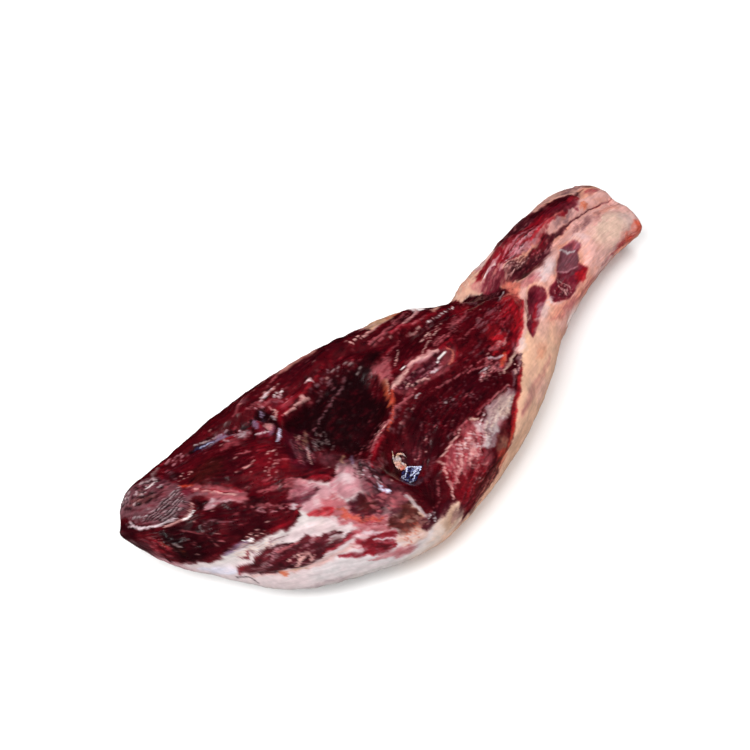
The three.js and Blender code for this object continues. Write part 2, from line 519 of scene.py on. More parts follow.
    def main_relief(self, x: Array, q: Array) -> Array:
        """The height of the main forms of the cut side."""
        return sum(item.height_at(x, q) for item in MAIN_RELIEF)


@dataclass(frozen=True)
class Tone:
    """A colour of the meat, as it looks, with how wet it is and how much it shows its fibres."""

    colour: str
    wet: float
    fibre: float

    def rgb(self) -> Array:
        """The three values of the colour as seen, from 0 to 1."""
        return np.array([int(self.colour[i : i + 2], 16) for i in (0, 2, 4)]) / 255


class Ink(Enum):
    """The tones of lean, fat, tendon, membrane and skin, and those of the painted shade, painted
    highlights and painted reflections.
    """

    # near black: the darkest lean and specks, and painted shade in the hollow, furrows, creases,
    # the slit and under pieces
    NIGHT = Tone("110305", 0.9, 0.5)
    WINE = Tone("250207", 0.9, 0.9)
    LEAN = Tone("3c030a", 0.9, 1.0)
    BROWN = Tone("380d0b", 0.8, 0.9)
    MAROON = Tone("350611", 0.8, 0.9)
    PLUM = Tone("5e1221", 0.8, 0.6)
    CRIMSON = Tone("6a0713", 0.9, 0.8)
    BRIGHT = Tone("96111a", 0.9, 0.8)
    RUST = Tone("ae3d26", 0.7, 0.6)
    ORANGE = Tone("b95838", 0.6, 0.4)
    SALMON = Tone("c87e6c", 0.5, 0.4)
    ROSE = Tone("954a50", 0.6, 0.5)
    DUSK = Tone("673e45", 0.6, 0.6)
    PINK = Tone("c69690", 0.5, 0.3)
    PEARL = Tone("c0aeb3", 0.5, 0.2)
    CREAM = Tone("caac9b", 0.5, 0.2)
    PEACH = Tone("d4a58a", 0.3, 0.2)
    TAN = Tone("9f775d", 0.4, 0.3)
    MAUVE = Tone("6b4a51", 0.5, 0.5)
    LILAC = Tone("776079", 0.7, 0.4)
    ASH = Tone("82706f", 0.5, 0.4)
    STONE = Tone("a79a9c", 0.4, 0.2)
    BLUSH = Tone("a86e76", 0.5, 0.4)
    CORAL = Tone("bd6456", 0.6, 0.4)
    BUFF = Tone("bd8f7e", 0.4, 0.2)
    CHALK = Tone("c4b0b2", 0.4, 0.2)
    PALE = Tone("b6b1b2", 0.4, 0.2)
    # painted bluish glints and sheen, where the wet surface mirrors a bluish light
    FROST = Tone("c2c8e0", 0.8, 0.2)
    # painted dark bluish reflection, in the furrow and on the film
    NAVY = Tone("23254f", 0.9, 0.2)
    # painted highlights: white glints on the wet surfaces
    GLINT = Tone("efe6e4", 0.9, 0.1)


@dataclass(frozen=True)
class Patch:
    """An area of one tone inside a closed outline."""

    ink: Ink
    outline: Path
    soft: float = 3.0
    strength: float = 0.9
    lift: float = 0.0
    rounding: float = 5.0
    rag: float = 1.0
    feather: float = 1.0

    def reach(self) -> float:
        """How far outside its places it can show."""
        return 2.0 + 3.0 * (self.rag + self.feather)

    def places(self) -> Path:
        """The places that bound it."""
        return self.outline

    def cover(self, x: Array, q: Array) -> tuple[Array, Array]:
        """How much of its tone and of its lift each place gets.

        Args:
            x: Where the places are along the ham.
            q: Where they are across it.

        Returns:
            The share of the tone, from 0 to 1, and the lift in millimetres, at each place.
        """
        line = spline(self.outline, closed=True, steps=4)
        distance, _, _ = nearest(line, x, q)
        depth = np.where(inside(line, x, q), distance, -distance)
        tone = smooth(0.5 + depth / self.soft)
        return self.strength * tone, self.lift * smooth(depth / self.rounding)


@dataclass(frozen=True)
class Stroke:
    """A band of one tone along a path.

    Its half width is either one number, for a band that tapers to both ends, or the numbers
    that it takes at even steps along the path.
    """

    ink: Ink
    path: Path
    half: float | tuple[float, ...] = 1.5
    strength: float = 0.85
    lift: float = 0.4
    soft: float = 0.8
    rag: float = 0.6
    feather: float = 0.4
    broken: float = 0.0

    def widths(self) -> tuple[float, ...]:
        """Its half widths at even steps along the path."""
        tapered = isinstance(self.half, tuple)
        return self.half if tapered else (0.5 * self.half, self.half, 0.5 * self.half)

    def reach(self) -> float:
        """How far outside its places it can show."""
        return 2.0 + 1.5 * max(self.widths()) + 3.0 * (self.rag + self.feather)

    def places(self) -> Path:
        """The places that it runs through."""
        return self.path

    def cover(self, x: Array, q: Array) -> tuple[Array, Array]:
        """How much of its tone and of its lift each place gets.

        Args:
            x: Where the places are along the ham.
            q: Where they are across it.

        Returns:
            The share of the tone, from 0 to 1, and the lift in millimetres, at each place.
        """
        distance, _, share = nearest(spline(self.path), x, q)
        widths = self.widths()
        half = np.interp(share, np.linspace(0, 1, len(widths)), widths)
        room = smooth((1 - distance / np.maximum(half, 0.05)) / self.soft)
        swell = np.exp(-((distance / (0.6 * np.maximum(half, 0.05))) ** 2))
        return self.strength * room, self.lift * swell


@dataclass(frozen=True)
class Wash:
    """A soft tint of one tone on a turned ellipse."""

    ink: Ink
    at: Place
    half: Place
    turn: float = 0.0
    strength: float = 0.6
    lift: float = 0.0
    rag: float = 1.4
    feather: float = 1.0
    broken: float = 0.0

    def reach(self) -> float:
        """How far from its middle it can show."""
        return max(self.half) + 3.0 * (self.rag + self.feather)

    def places(self) -> Path:
        """Its middle."""
        return (self.at,)

    def cover(self, x: Array, q: Array) -> tuple[Array, Array]:
        """How much of its tone and of its lift each place gets."""
        bump = Mound(self.at, self.half, self.turn, 1.0, 1.0).height_at(x, q)
        return self.strength * bump, self.lift * bump


@dataclass(frozen=True)
class Flecks:
    """Small spots of one tone, scattered over a turned ellipse and drawn out along the fibres."""

    ink: Ink
    at: Place
    half: Place
    turn: float
    count: int
    seed: int
    size: tuple[float, float] = (0.6, 1.4)
    stretch: float = 2.0
    strength: float = 0.75
    lift: float = 0.4
    on_lean: bool = False

    def spots(self) -> Array:
        """Draws the spots.

        Returns:
            One row for each spot: x and q of its middle, and its size.
        """
        draw = np.random.default_rng(self.seed)
        away = np.sqrt(draw.random(self.count))
        angle = draw.random(self.count) * 2 * math.pi
        along, over = away * np.cos(angle) * self.half[0], away * np.sin(angle) * self.half[1]
        turn = math.radians(self.turn)
        x = self.at[0] + along * math.cos(turn) - over * math.sin(turn)
        q = self.at[1] + along * math.sin(turn) + over * math.cos(turn)
        size = self.size[0] + (self.size[1] - self.size[0]) * draw.random(self.count) ** 2
        return np.stack([x, q, size], -1)


@dataclass(frozen=True)
class Fan:
    """Thin strands side by side, spread between a first path and a last one."""

    WIDTHS = (0.6, 1.4)  # how the strands' widths vary, as shares of half
    STRENGTHS = (0.7, 1.0)  # how their strengths vary, as shares of strength

    ink: Ink
    first: Path
    last: Path
    count: int
    seed: int
    half: float = 0.9
    length: tuple[float, float] = (0.2, 0.6)
    strength: float = 0.7
    lift: float = 0.4
    wobble: float = 0.8

    def strokes(self) -> list[Stroke]:
        """Draws the strands, each with its own place and length.

        Returns:
            One stroke for each strand.
        """
        draw = np.random.default_rng(self.seed)
        first, last = np.array(self.first, float), np.array(self.last, float)
        strands = []
        for number in range(self.count):
            share = (number + draw.random()) / self.count
            line = first * (1 - share) + last * share
            line = spline(line + draw.normal(size=line.shape) * self.wobble)
            held = draw.uniform(*self.length)
            start = draw.random() * (1 - held)
            spots = np.linspace(start, start + held, 4) * (len(line) - 1)
            path = tuple(map(tuple, on_line(line, spots)))
            thick = self.half * draw.uniform(*self.WIDTHS)
            strength = self.strength * draw.uniform(*self.STRENGTHS)
            strands.append(Stroke(self.ink, path, thick, strength, self.lift, 0.9))
        return strands


Feature = Patch | Stroke | Wash | Flecks | Fan


@dataclass
class FibreField:
    """Coordinates along and across the fibres of the muscles, smooth over the whole plan.

    The guides say which way the fibres run at some places. The two coordinates are the smooth
    functions whose slopes agree with them best.
    """

    step: float = 2.0
    low: Place = (-310.0, -200.0)
    high: Place = (310.0, 190.0)
    blur: float = 120.0

    def __post_init__(self) -> None:
        """Works out both coordinates on a raster."""
        self.xs = np.arange(self.low[0], self.high[0], self.step)
        self.qs = np.arange(self.low[1], self.high[1], self.step)
        x, q = np.meshgrid(self.xs, self.qs, indexing="ij")
        cosine, sine = np.zeros(x.shape), np.zeros(x.shape)
        for gx, gq, degrees in FIBRE_GUIDES:
            weight = 1 / ((x - gx) ** 2 + (q - gq) ** 2 + self.blur) ** 1.5
            cosine += weight * math.cos(2 * math.radians(degrees))
            sine += weight * math.sin(2 * math.radians(degrees))
        self.turn = np.arctan2(sine, cosine) / 2
        self.along = self.potential(np.cos(self.turn), np.sin(self.turn))
        self.over = self.potential(-np.sin(self.turn), np.cos(self.turn))

    def potential(self, slope_x: Array, slope_q: Array) -> Array:
        """Finds the function whose slopes come nearest to the ones given.

        Args:
            slope_x: Its slope along the ham, on the raster.
            slope_q: Its slope across the ham, on the raster.

        Returns:
            The function's values on the raster.
        """
        wide_x = np.concatenate([slope_x, -slope_x[::-1]], axis=0)
        wide_x = np.concatenate([wide_x, wide_x[:, ::-1]], axis=1)
        wide_q = np.concatenate([slope_q, slope_q[::-1]], axis=0)
        wide_q = np.concatenate([wide_q, -wide_q[:, ::-1]], axis=1)
        rate_x = 2j * math.pi * np.fft.fftfreq(wide_x.shape[0], self.step)[:, None]
        rate_q = 2j * math.pi * np.fft.fftfreq(wide_x.shape[1], self.step)[None, :]
        power = -(rate_x**2 + rate_q**2).real
        power[0, 0] = 1.0
        parts = rate_x * np.fft.fft2(wide_x) + rate_q * np.fft.fft2(wide_q)
        whole = np.fft.ifft2(-parts / power).real
        return whole[: slope_x.shape[0], : slope_x.shape[1]]

    def sample(self, raster: Array, x: Array, q: Array) -> Array:
        """Reads a raster at some places of the plan.

        Args:
            raster: The raster.
            x: Where the places are along the ham.
            q: Where they are across it.

        Returns:
            Its value at each place, smoothly between its own.
        """
        i = np.clip((x - self.xs[0]) / self.step, 0, len(self.xs) - 1.001)
        j = np.clip((q - self.qs[0]) / self.step, 0, len(self.qs) - 1.001)
        i0, j0 = i.astype(int), j.astype(int)
        u, v = i - i0, j - j0
        low = raster[i0, j0] * (1 - v) + raster[i0, j0 + 1] * v
        high = raster[i0 + 1, j0] * (1 - v) + raster[i0 + 1, j0 + 1] * v
        return low * (1 - u) + high * u


class Canvas:
    """The surface's tones and fine heights, laid down feature by feature."""

    SWAY = 2.4  # how far an edge sways at a rag of 1, in millimetres
    FRAY = 1.1  # how far it frays in small
    COMB = 1.9  # how far the fibres draw it out at a feather of 1
    SWAY_SIZE = 11.0  # the size of the sways
    FRAY_SIZE = 3.6  # the size of the frays
    THINNED = 0.4  # the share of its tone that a feature loses where it is thin

    def __init__(self, points: Array, q: Array, fibres: FibreField) -> None:
        """Starts with bare surface.

        Args:
            points: The places in space, in millimetres.
            q: Their places across the ham, over the surface.
            fibres: The directions of the fibres.
        """
        self.points = points
        self.x, self.q = points[:, 0], q
        self.along = fibres.sample(fibres.along, self.x, q)
        self.over = fibres.sample(fibres.over, self.x, q)
        self.turn = fibres.sample(fibres.turn, self.x, q)
        self.rgb = np.zeros((len(q), 3))
        self.wet = np.full(len(q), 0.3)
        self.fibre = np.zeros(len(q))
        self.lift = np.zeros(len(q))
        self.shift_x = Noise(3).layered(points / self.SWAY_SIZE, 3)
        self.shift_q = Noise(4).layered(points / self.SWAY_SIZE, 3)
        self.comb = Noise(5).layered(self.strands(16.0, 1.9), 2)
        self.breaks = Noise(6).layered(self.strands(7.0, 2.4), 2)
        self.fine_x = Noise(7).layered(points / self.FRAY_SIZE, 2)
        self.fine_q = Noise(8).layered(points / self.FRAY_SIZE, 2)
        self.patchy = Noise(9).layered(self.strands(9.0, 3.4), 3)

    def strands(self, length: float, width: float) -> Array:
        """Places for a noise that is drawn out along the fibres."""
        still = np.zeros(len(self.x))
        return np.stack([self.along / length, self.over / width, still], -1)

    def blend(self, near: Array, share: Array, ink: Ink) -> None:
        """Mixes one tone into the surface at some of its places.

        Args:
            near: The numbers of the places.
            share: The share of the tone at each of them.
            ink: The tone.
        """
        tone = ink.value
        held = share[:, None]
        self.rgb[near] = self.rgb[near] * (1 - held) + tone.rgb() * held
        self.wet[near] += (tone.wet - self.wet[near]) * share
        self.fibre[near] += (tone.fibre - self.fibre[near]) * share

    def lay(self, feature: Patch | Stroke | Wash) -> None:
        """Lays one feature on the surface, with an edge that sways and frays.

        Args:
            feature: The feature.
        """
        places = np.array(feature.places())
        low = places.min(axis=0) - feature.reach()
        high = places.max(axis=0) + feature.reach()
        held = (self.x > low[0]) & (self.x < high[0]) & (self.q > low[1]) & (self.q < high[1])
        near = np.flatnonzero(held)
        comb = self.comb[near] * self.COMB * feature.feather
        rag = feature.rag
        x = self.x[near] + rag * (self.SWAY * self.shift_x[near] + self.FRAY * self.fine_x[near])
        q = self.q[near] + rag * (self.SWAY * self.shift_q[near] + self.FRAY * self.fine_q[near])
        x = x + comb * np.cos(self.turn[near])
        q = q + comb * np.sin(self.turn[near])
        share, lift = feature.cover(x, q)
        broken = getattr(feature, "broken", 0.0)
        if broken:
            kept = smooth((self.breaks[near] + 0.7 - 1.1 * broken) / 0.35)
            share, lift = share * kept, lift * kept
        turned = self.patchy[near] * (-1.0) ** len(feature.places())
        if feature.strength < 1:
            share = share * (1 - self.THINNED * min(rag, 1.0) * smooth((turned - 0.02) / 0.5))
        self.blend(near, share, feature.ink)
        self.lift[near] += lift

    def scatter(self, feature: Flecks) -> None:
        """Lays scattered spots on the surface.

        Args:
            feature: The spots.
        """
        for x, q, size in feature.spots():
            reach = size * feature.stretch * 1.2
            near = np.flatnonzero(np.maximum(abs(self.x - x), abs(self.q - q)) < reach)
            if len(near) == 0:
                continue
            dx, dq = self.x[near] - x, self.q[near] - q
            turn = self.turn[near]
            along = (dx * np.cos(turn) + dq * np.sin(turn)) / feature.stretch
            over = dq * np.cos(turn) - dx * np.sin(turn)
            room = smooth((1 - np.hypot(along, over) / size) / 0.7)
            if feature.on_lean:
                room = room * smooth(2.0 * self.fibre[near] - 0.8)
            self.blend(near, feature.strength * room, feature.ink)
            self.lift[near] += feature.lift * room

    def paint(self, features: tuple[Feature, ...]) -> None:
        """Lays features in order, from the lowest to the uppermost.

        Args:
            features: The features.
        """
        for feature in features:
            if isinstance(feature, Flecks):
                self.scatter(feature)
            elif isinstance(feature, Fan):
                self.paint(tuple(feature.strokes()))
            else:
                self.lay(feature)


# Which way the fibres run: x, q, and degrees from the ham's length towards the far side.
FIBRE_GUIDES: tuple[tuple[float, float, float], ...] = (
    (-285, 50, -75), (-262, 30, -66), (-262, 62, -14), (-240, 62, -5), (-265, 90, -70),
    (-240, 12, -50), (-220, 45, -59), (-215, 10, -36), (-222, -18, -14), (-258, 0, -27),
    (-225, -40, -36), (-195, -55, -24), (-172, -62, -16), (-195, -36, -16), (-260, -25, -50),
    (-205, 60, -25), (-190, 85, -12), (-220, 100, -10), (-192, 36, -18), (-168, 20, -38),
    (-198, -2, -38), (-178, -4, -34), (-165, -30, -30), (-175, -85, -42), (-150, -98, -33),
    (-200, -90, -50), (-120, -122, -12), (-150, -22, -42), (-145, -70, -50), (-118, -22, 62),
    (-118, -62, -70), (-104, -85, -80), (-148, 8, 56), (-134, 32, 55), (-128, 64, -8),
    (-150, 68, 70), (-105, -33, 30), (-85, -20, 22), (-60, -12, 14), (-98, 42, 8),
    (-75, 48, 2), (-90, 15, 10), (-60, 70, -2), (-70, 88, -6), (-72, -50, 40),
    (-72, -85, 48), (-85, -105, 25), (-20, 57, 0), (5, 64, 18), (22, 74, 28),
    (-48, 12, 62), (-30, 8, 8), (0, 12, -10), (-18, 32, 52), (15, 28, 16),
    (30, 42, -2), (55, 42, 2), (62, 26, 18), (70, 6, 10), (100, 12, 16),
    (110, 14, 22), (40, -18, 0), (-10, -20, -2), (-30, -35, 6), (60, -27, 18),
    (30, -40, 16), (85, -12, 30), (0, -58, 8), (-45, -85, 42), (-10, -78, 38),
    (-30, -108, 24), (15, -84, 34), (60, -60, 27), (30, -95, 24), (100, -42, 32),
    (122, -2, 42), (90, 40, 40), (95, 62, -35), (130, 33, 50), (140, 58, 16),
    (150, 46, 12), (190, 56, 10), (170, 78, 12), (190, 40, 34), (160, 20, 30),
    (168, -3, 20), (195, 16, 30), (225, 30, 20), (250, 42, 28), (250, 5, -18),
    (280, 8, -10), (285, 40, 4), (230, 74, 4), (268, 78, 24), (288, 70, 10),
    (200, -15, 14), (150, -35, 22),
)

RUMP: tuple[Feature, ...] = (
    # the lean of the whole cut side, up to the far rim
    Patch(Ink.LEAN, ((-298, 92), (-295, 70), (-289, 48), (-279, 17), (-270, 8), (-262, 1),
        (-250, -6), (-238, -11), (-225, -17), (-208, -24), (-190, -31), (-176, -18), (-166, -6),
        (-158, -11), (-153, -18), (-146, -26), (-138, -20), (-128, -17), (-120, -40), (-104, -80),
        (-100, -112), (-84, -111), (-68, -112), (-66, -136), (-38, -128), (-14, -117), (2, -99),
        (16, -85), (34, -66), (50, -56), (68, -45), (80, -27), (100, -10), (120, 7), (124, 22),
        (118, 40), (104, 49), (84, 63), (76, 80), (36, 98), (24, 80), (0, 69), (-18, 70), (-4, 100),
        (0, 122), (-60, 134), (-160, 142), (-240, 138), (-290, 122)), strength=1, lift=0.6),
    # the pale rim at the tip
    Stroke(Ink.BLUSH, ((-292, 62), (-287, 36), (-280, 12), (-272, -4)), (3, 5, 6), lift=0,
        soft=0.6),
    Stroke(Ink.WINE, ((-298, 88), (-294, 66), (-289, 46), (-281, 24)), (4, 4.5, 2), lift=0,
        soft=0.6),
    Fan(Ink.ROSE, ((-293, 60), (-288, 40), (-280, 16)), ((-286, 60), (-280, 42), (-273, 16)), 9,
        386),
    Fan(Ink.CRIMSON, ((-292, 60), (-287, 40), (-279, 14)), ((-286, 60), (-279, 42), (-272, 14)), 7,
        387, 1.1),
    Fan(Ink.RUST, ((-283, 50), (-279, 36), (-275, 18)), ((-280, 50), (-276, 36), (-271, 18)), 3,
        388, length=(0.4, 0.8)),
    Wash(Ink.WINE, (-291, 76), (10, 16), 70, 0.9),
    # the dark muscle next to the tip
    Patch(Ink.NIGHT, ((-280, 47), (-275, 20), (-266, 8), (-258, 12), (-257, 32), (-264, 46),
        (-272, 50)), 7),
    Patch(Ink.WINE, ((-270, 46), (-248, 43), (-240, 32), (-226, 25), (-214, 8), (-202, -8),
        (-210, -16), (-228, -10), (-248, 0), (-266, 12)), 7, 0.75),
    Wash(Ink.CRIMSON, (-238, 8), (7, 9), -50, 0.35),
    Stroke(Ink.ROSE, ((-266, 42), (-262, 36), (-256, 28), (-251, 18), (-250, 8)), 1.3, 0.55,
        broken=0.25),
    Stroke(Ink.ROSE, ((-247, 8), (-244, 3)), 1.3),
    Stroke(Ink.DUSK, ((-247, 24), (-240, 22), (-234, 12), (-229, 7)), 1.6, lift=0, broken=0.3),
    Stroke(Ink.ASH, ((-275, 37), (-272, 28)), 1.6),
    Wash(Ink.WINE, (-205, 50), (26, 24), -30, 0.75),
    Wash(Ink.BROWN, (-213, 62), (20, 17), -10, 0.8),
    # the leathery patch with its white rim
    Patch(Ink.DUSK, ((-292, 98), (-289, 82), (-283, 69), (-275, 60), (-266, 53), (-255, 49),
        (-246, 51), (-239, 57), (-238, 66), (-242, 80), (-246, 98), (-256, 110), (-272, 112),
        (-286, 108)), lift=0.8, rag=1.4),
    Wash(Ink.MAUVE, (-260, 62), (20, 10), -8, 0.35),
    Wash(Ink.TAN, (-268, 86), (14, 10), -40, 0.3),
    Wash(Ink.ROSE, (-250, 76), (9, 10), -60, 0.3),
    Wash(Ink.MAROON, (-246, 90), (10, 12), -60, 0.7),
    Wash(Ink.WINE, (-262, 78), (12, 3.5), -14, lift=-0.5),
    Fan(Ink.MAROON, ((-286, 92), (-276, 84), (-262, 80)), ((-276, 104), (-262, 98), (-248, 92)), 12,
        396, 1.1, lift=-0.4),
    Wash(Ink.STONE, (-280, 100), (9, 8), strength=0.35),
    Wash(Ink.PLUM, (-240, 62), (5, 7), -60, 0.8),
    Flecks(Ink.NIGHT, (-266, 92), (22, 14), -30, 60, 45, (0.9, 2.4), strength=0.6, lift=-0.6),
    Flecks(Ink.CHALK, (-264, 94), (22, 12), -30, 34, 46, (0.8, 2), strength=0.6),
    *(
        Stroke(Ink.STONE, ((-280 + 2.4 * row, 71 - 2.6 * row), (-266, 68.4 - 2.6 * row),
                           (-252, 67.6 - 2.5 * row), (-239 - row, 69 - 2.4 * row)),
               1.0, 0.6, 0.8, 0.9, broken=0.25)
        for row in range(7)
    ),
    # painted shade in the grooves just below the pale ribs
    *(
        Stroke(Ink.NIGHT, ((-281 + 2.4 * row, 69.6 - 2.6 * row), (-266, 67.1 - 2.6 * row),
                           (-252, 66.3 - 2.5 * row), (-240 - row, 67.7 - 2.4 * row)),
               1.3, 0.9, -0.9, 0.9, broken=0.1)
        for row in range(7)
    ),
    Stroke(Ink.STONE, ((-292, 82), (-286, 69), (-278, 60), (-269, 53.5), (-261, 50)),
        (0.9, 1.7, 1.5, 0.9), lift=0.8),
    Stroke(Ink.PEARL, ((-287, 70), (-281, 62), (-275, 57)), 1.3),
    Stroke(Ink.STONE, ((-288, 84), (-281, 76), (-275, 69)), 1.3, 0.7, broken=0.2),
    Stroke(Ink.PINK, ((-271, 51), (-263, 48), (-256, 46), (-246, 48), (-241, 52)),
        (0.8, 1.3, 1.6, 1, 0.6)),
    # painted glints
    Stroke(Ink.GLINT, ((-258, 46), (-253, 44), (-247, 46)), 1.7, 1, 0.6),
    Stroke(Ink.GLINT, ((-260, 92), (-255, 91), (-250, 92)), 1.7, 0.75),
    Stroke(Ink.ASH, ((-250, 98), (-245, 108), (-238, 114)), 2.8, 0.7, 0.8),
    Stroke(Ink.MAUVE, ((-238, 78), (-236, 92), (-234, 106)), 4, 0.7, broken=0.3),
    Stroke(Ink.CRIMSON, ((-245, 88), (-242, 102)), 3, 0.7, 0),
    Wash(Ink.MAROON, (-226, 94), (12, 12), 10),
    # painted shade in a small hollow
    Wash(Ink.NIGHT, (-236, 82), (6, 7), 20),
    Flecks(Ink.PINK, (-228, 75), (6, 4), -15, 9, 41, stretch=1),
    Flecks(Ink.BLUSH, (-221, 107), (10, 4), -25, 26, 42, (0.7, 1.7), 1.4),
    # the long strand along the far furrow
    Stroke(Ink.MAROON, ((-212, 96), (-198, 88), (-186, 80)), 12, lift=0),
    # painted shade down in the furrow
    Stroke(Ink.NIGHT, ((-210, 102), (-196, 96), (-182, 89), (-168, 82)), (2, 3.8, 3.4, 1.6),
        lift=-0.6),
    # a painted dark bluish reflection in the furrow
    Stroke(Ink.NAVY, ((-205, 100), (-194, 95), (-183, 90)), 2.2, 0.7, 0),
    Fan(Ink.PLUM, ((-246, 84), (-242, 96), (-238, 108)), ((-186, 74), (-184, 86), (-182, 96)), 14,
        389, 1.4, strength=0.5),
    Fan(Ink.BLUSH, ((-236, 88), (-233, 98), (-230, 106)), ((-186, 82), (-184, 90), (-182, 96)), 7,
        390, strength=0.5),
    Stroke(Ink.STONE, ((-205, 104), (-195, 98.5), (-185, 94), (-172, 88)), 1.4, broken=0.2),
    # a painted bluish glint along the furrow
    Stroke(Ink.FROST, ((-200, 98), (-192, 94), (-184, 91)), 1.2, 0.75, broken=0.2),
    Stroke(Ink.STONE, ((-194, 90), (-184, 87), (-174, 84)), 5, 0.75, 0.6, broken=0.25),
    Stroke(Ink.BRIGHT, ((-186, 78), (-176, 76), (-168, 73)), 5, 0.7, 0),
    Wash(Ink.LILAC, (-182, 86), (14, 8), -30, 0.9, 0.3),
    Wash(Ink.ROSE, (-183, 67), (12, 7), -20),
    Wash(Ink.PEARL, (-169, 69), (7, 9), 60, 0.75, 1.4),
    Wash(Ink.PEARL, (-165, 78), (5, 8), 70, 0.7, 0.8),
    # the reddish middle of the rump
    Wash(Ink.CRIMSON, (-180, 22), (22, 18), -30, 0.5),
    Wash(Ink.CRIMSON, (-168, 42), (14, 20), -40, 0.35),
    Wash(Ink.BRIGHT, (-163, 14), (9, 8), -30, 0.3),
    # painted glints
    Stroke(Ink.PINK, ((-199, 38), (-190, 35), (-180, 33)), 1.6, broken=0.3),
    Stroke(Ink.ROSE, ((-189, 51), (-186, 51), (-178, 45)), 1.3),
    Stroke(Ink.PINK, ((-171, 31), (-167, 31), (-162, 28)), 1.2),
    Fan(Ink.PINK, ((-186, 18), (-178, 24), (-168, 34)), ((-176, 10), (-168, 16), (-158, 26)), 7,
        395, 0.6),
    Stroke(Ink.ROSE, ((-170, 20), (-163, 16), (-158, 12)), 1.3, 0.7),
    Stroke(Ink.ROSE, ((-196, 22), (-186, 14), (-176, 9)), 1.3, 0.6, broken=0.4),
    # the fat seam down the middle
    Patch(Ink.BLUSH, ((-239, 38), (-234, 43), (-229, 41), (-224, 40), (-216, 35), (-208, 27),
        (-205, 18), (-208, 13), (-214, 14), (-218, 21), (-224, 27), (-231, 29), (-237, 33)), 4, 0.8,
        1.2, rag=1.3),
    Wash(Ink.PEARL, (-231, 35), (8, 6), -20, 0.7, 0.4),
    Stroke(Ink.PEARL, ((-226, 29), (-219, 23), (-213, 14)), 1.8, 0.6),
    Patch(Ink.ROSE, ((-236, 62), (-230, 59), (-222, 48), (-214, 37), (-206, 24), (-205, 14),
        (-213, 12), (-220, 25), (-227, 38), (-233, 48)), strength=0.75, lift=0.6),
    Stroke(Ink.PINK, ((-233, 57), (-226, 46), (-219, 35), (-212, 23)), (0.9, 2, 2.6, 1.8),
        lift=0.6),
    Stroke(Ink.RUST, ((-240, 71), (-236, 67), (-231, 60)), 2.2, 0.7, 0),
    Stroke(Ink.CRIMSON, ((-231, 54), (-224, 44), (-217, 34), (-212, 28)), (0.8, 1.5, 1.5, 0.8),
        lift=-0.5),
    Stroke(Ink.CRIMSON, ((-214, 40), (-209, 33), (-207, 24)), 2.8, 0.65, 0),
    Stroke(Ink.MAUVE, ((-245, 52), (-236, 54), (-228, 44)), 2.5, 0.7, 0),
    Wash(Ink.NIGHT, (-239, 44), (8, 6), -40, 0.8),
    Wash(Ink.NIGHT, (-206, 6), (12, 7), -38),
    # pale beads and seams towards the flank
    Stroke(Ink.ROSE, ((-213, 9), (-207, 3), (-200, -3), (-194, -9), (-188, -13), (-181, -17)),
        (0.8, 1.8, 2.4, 2.4, 1.6, 2.4), 0.7, rag=1.4, feather=1.2, broken=0.3),
    Flecks(Ink.BLUSH, (-196, -8), (17, 3.5), -38, 20, 47),
    Stroke(Ink.ROSE, ((-198, 14), (-185, 4), (-175, -2), (-164, -9)), (2, 4, 4, 5), 0.75, rag=1,
        broken=0.15),
    Patch(Ink.BLUSH, ((-178, -6), (-166, -6), (-156, -14), (-152, -30), (-160, -38), (-176, -34),
        (-183, -24)), 6, 0.8, 0.8, rag=1.5),
    Fan(Ink.ROSE, ((-186, -2), (-172, -10), (-160, -18)), ((-176, 4), (-164, -4), (-154, -12)), 6,
        304),
    Stroke(Ink.MAROON, ((-187, -10), (-175, -19), (-160, -22)), 5.5, lift=-0.8),
    Wash(Ink.PLUM, (-168, -14), (12, 5), -35, 0.5),
    # the muscle's lower border against the fat
    Stroke(Ink.CRIMSON, ((-212, -20), (-203, -23), (-193, -26), (-185, -23)), (2, 3.2, 3, 2),
        lift=0),
    Flecks(Ink.PINK, (-222, -12), (9, 4), -30, 10, 44, (0.5, 1.1), strength=0.9),
)

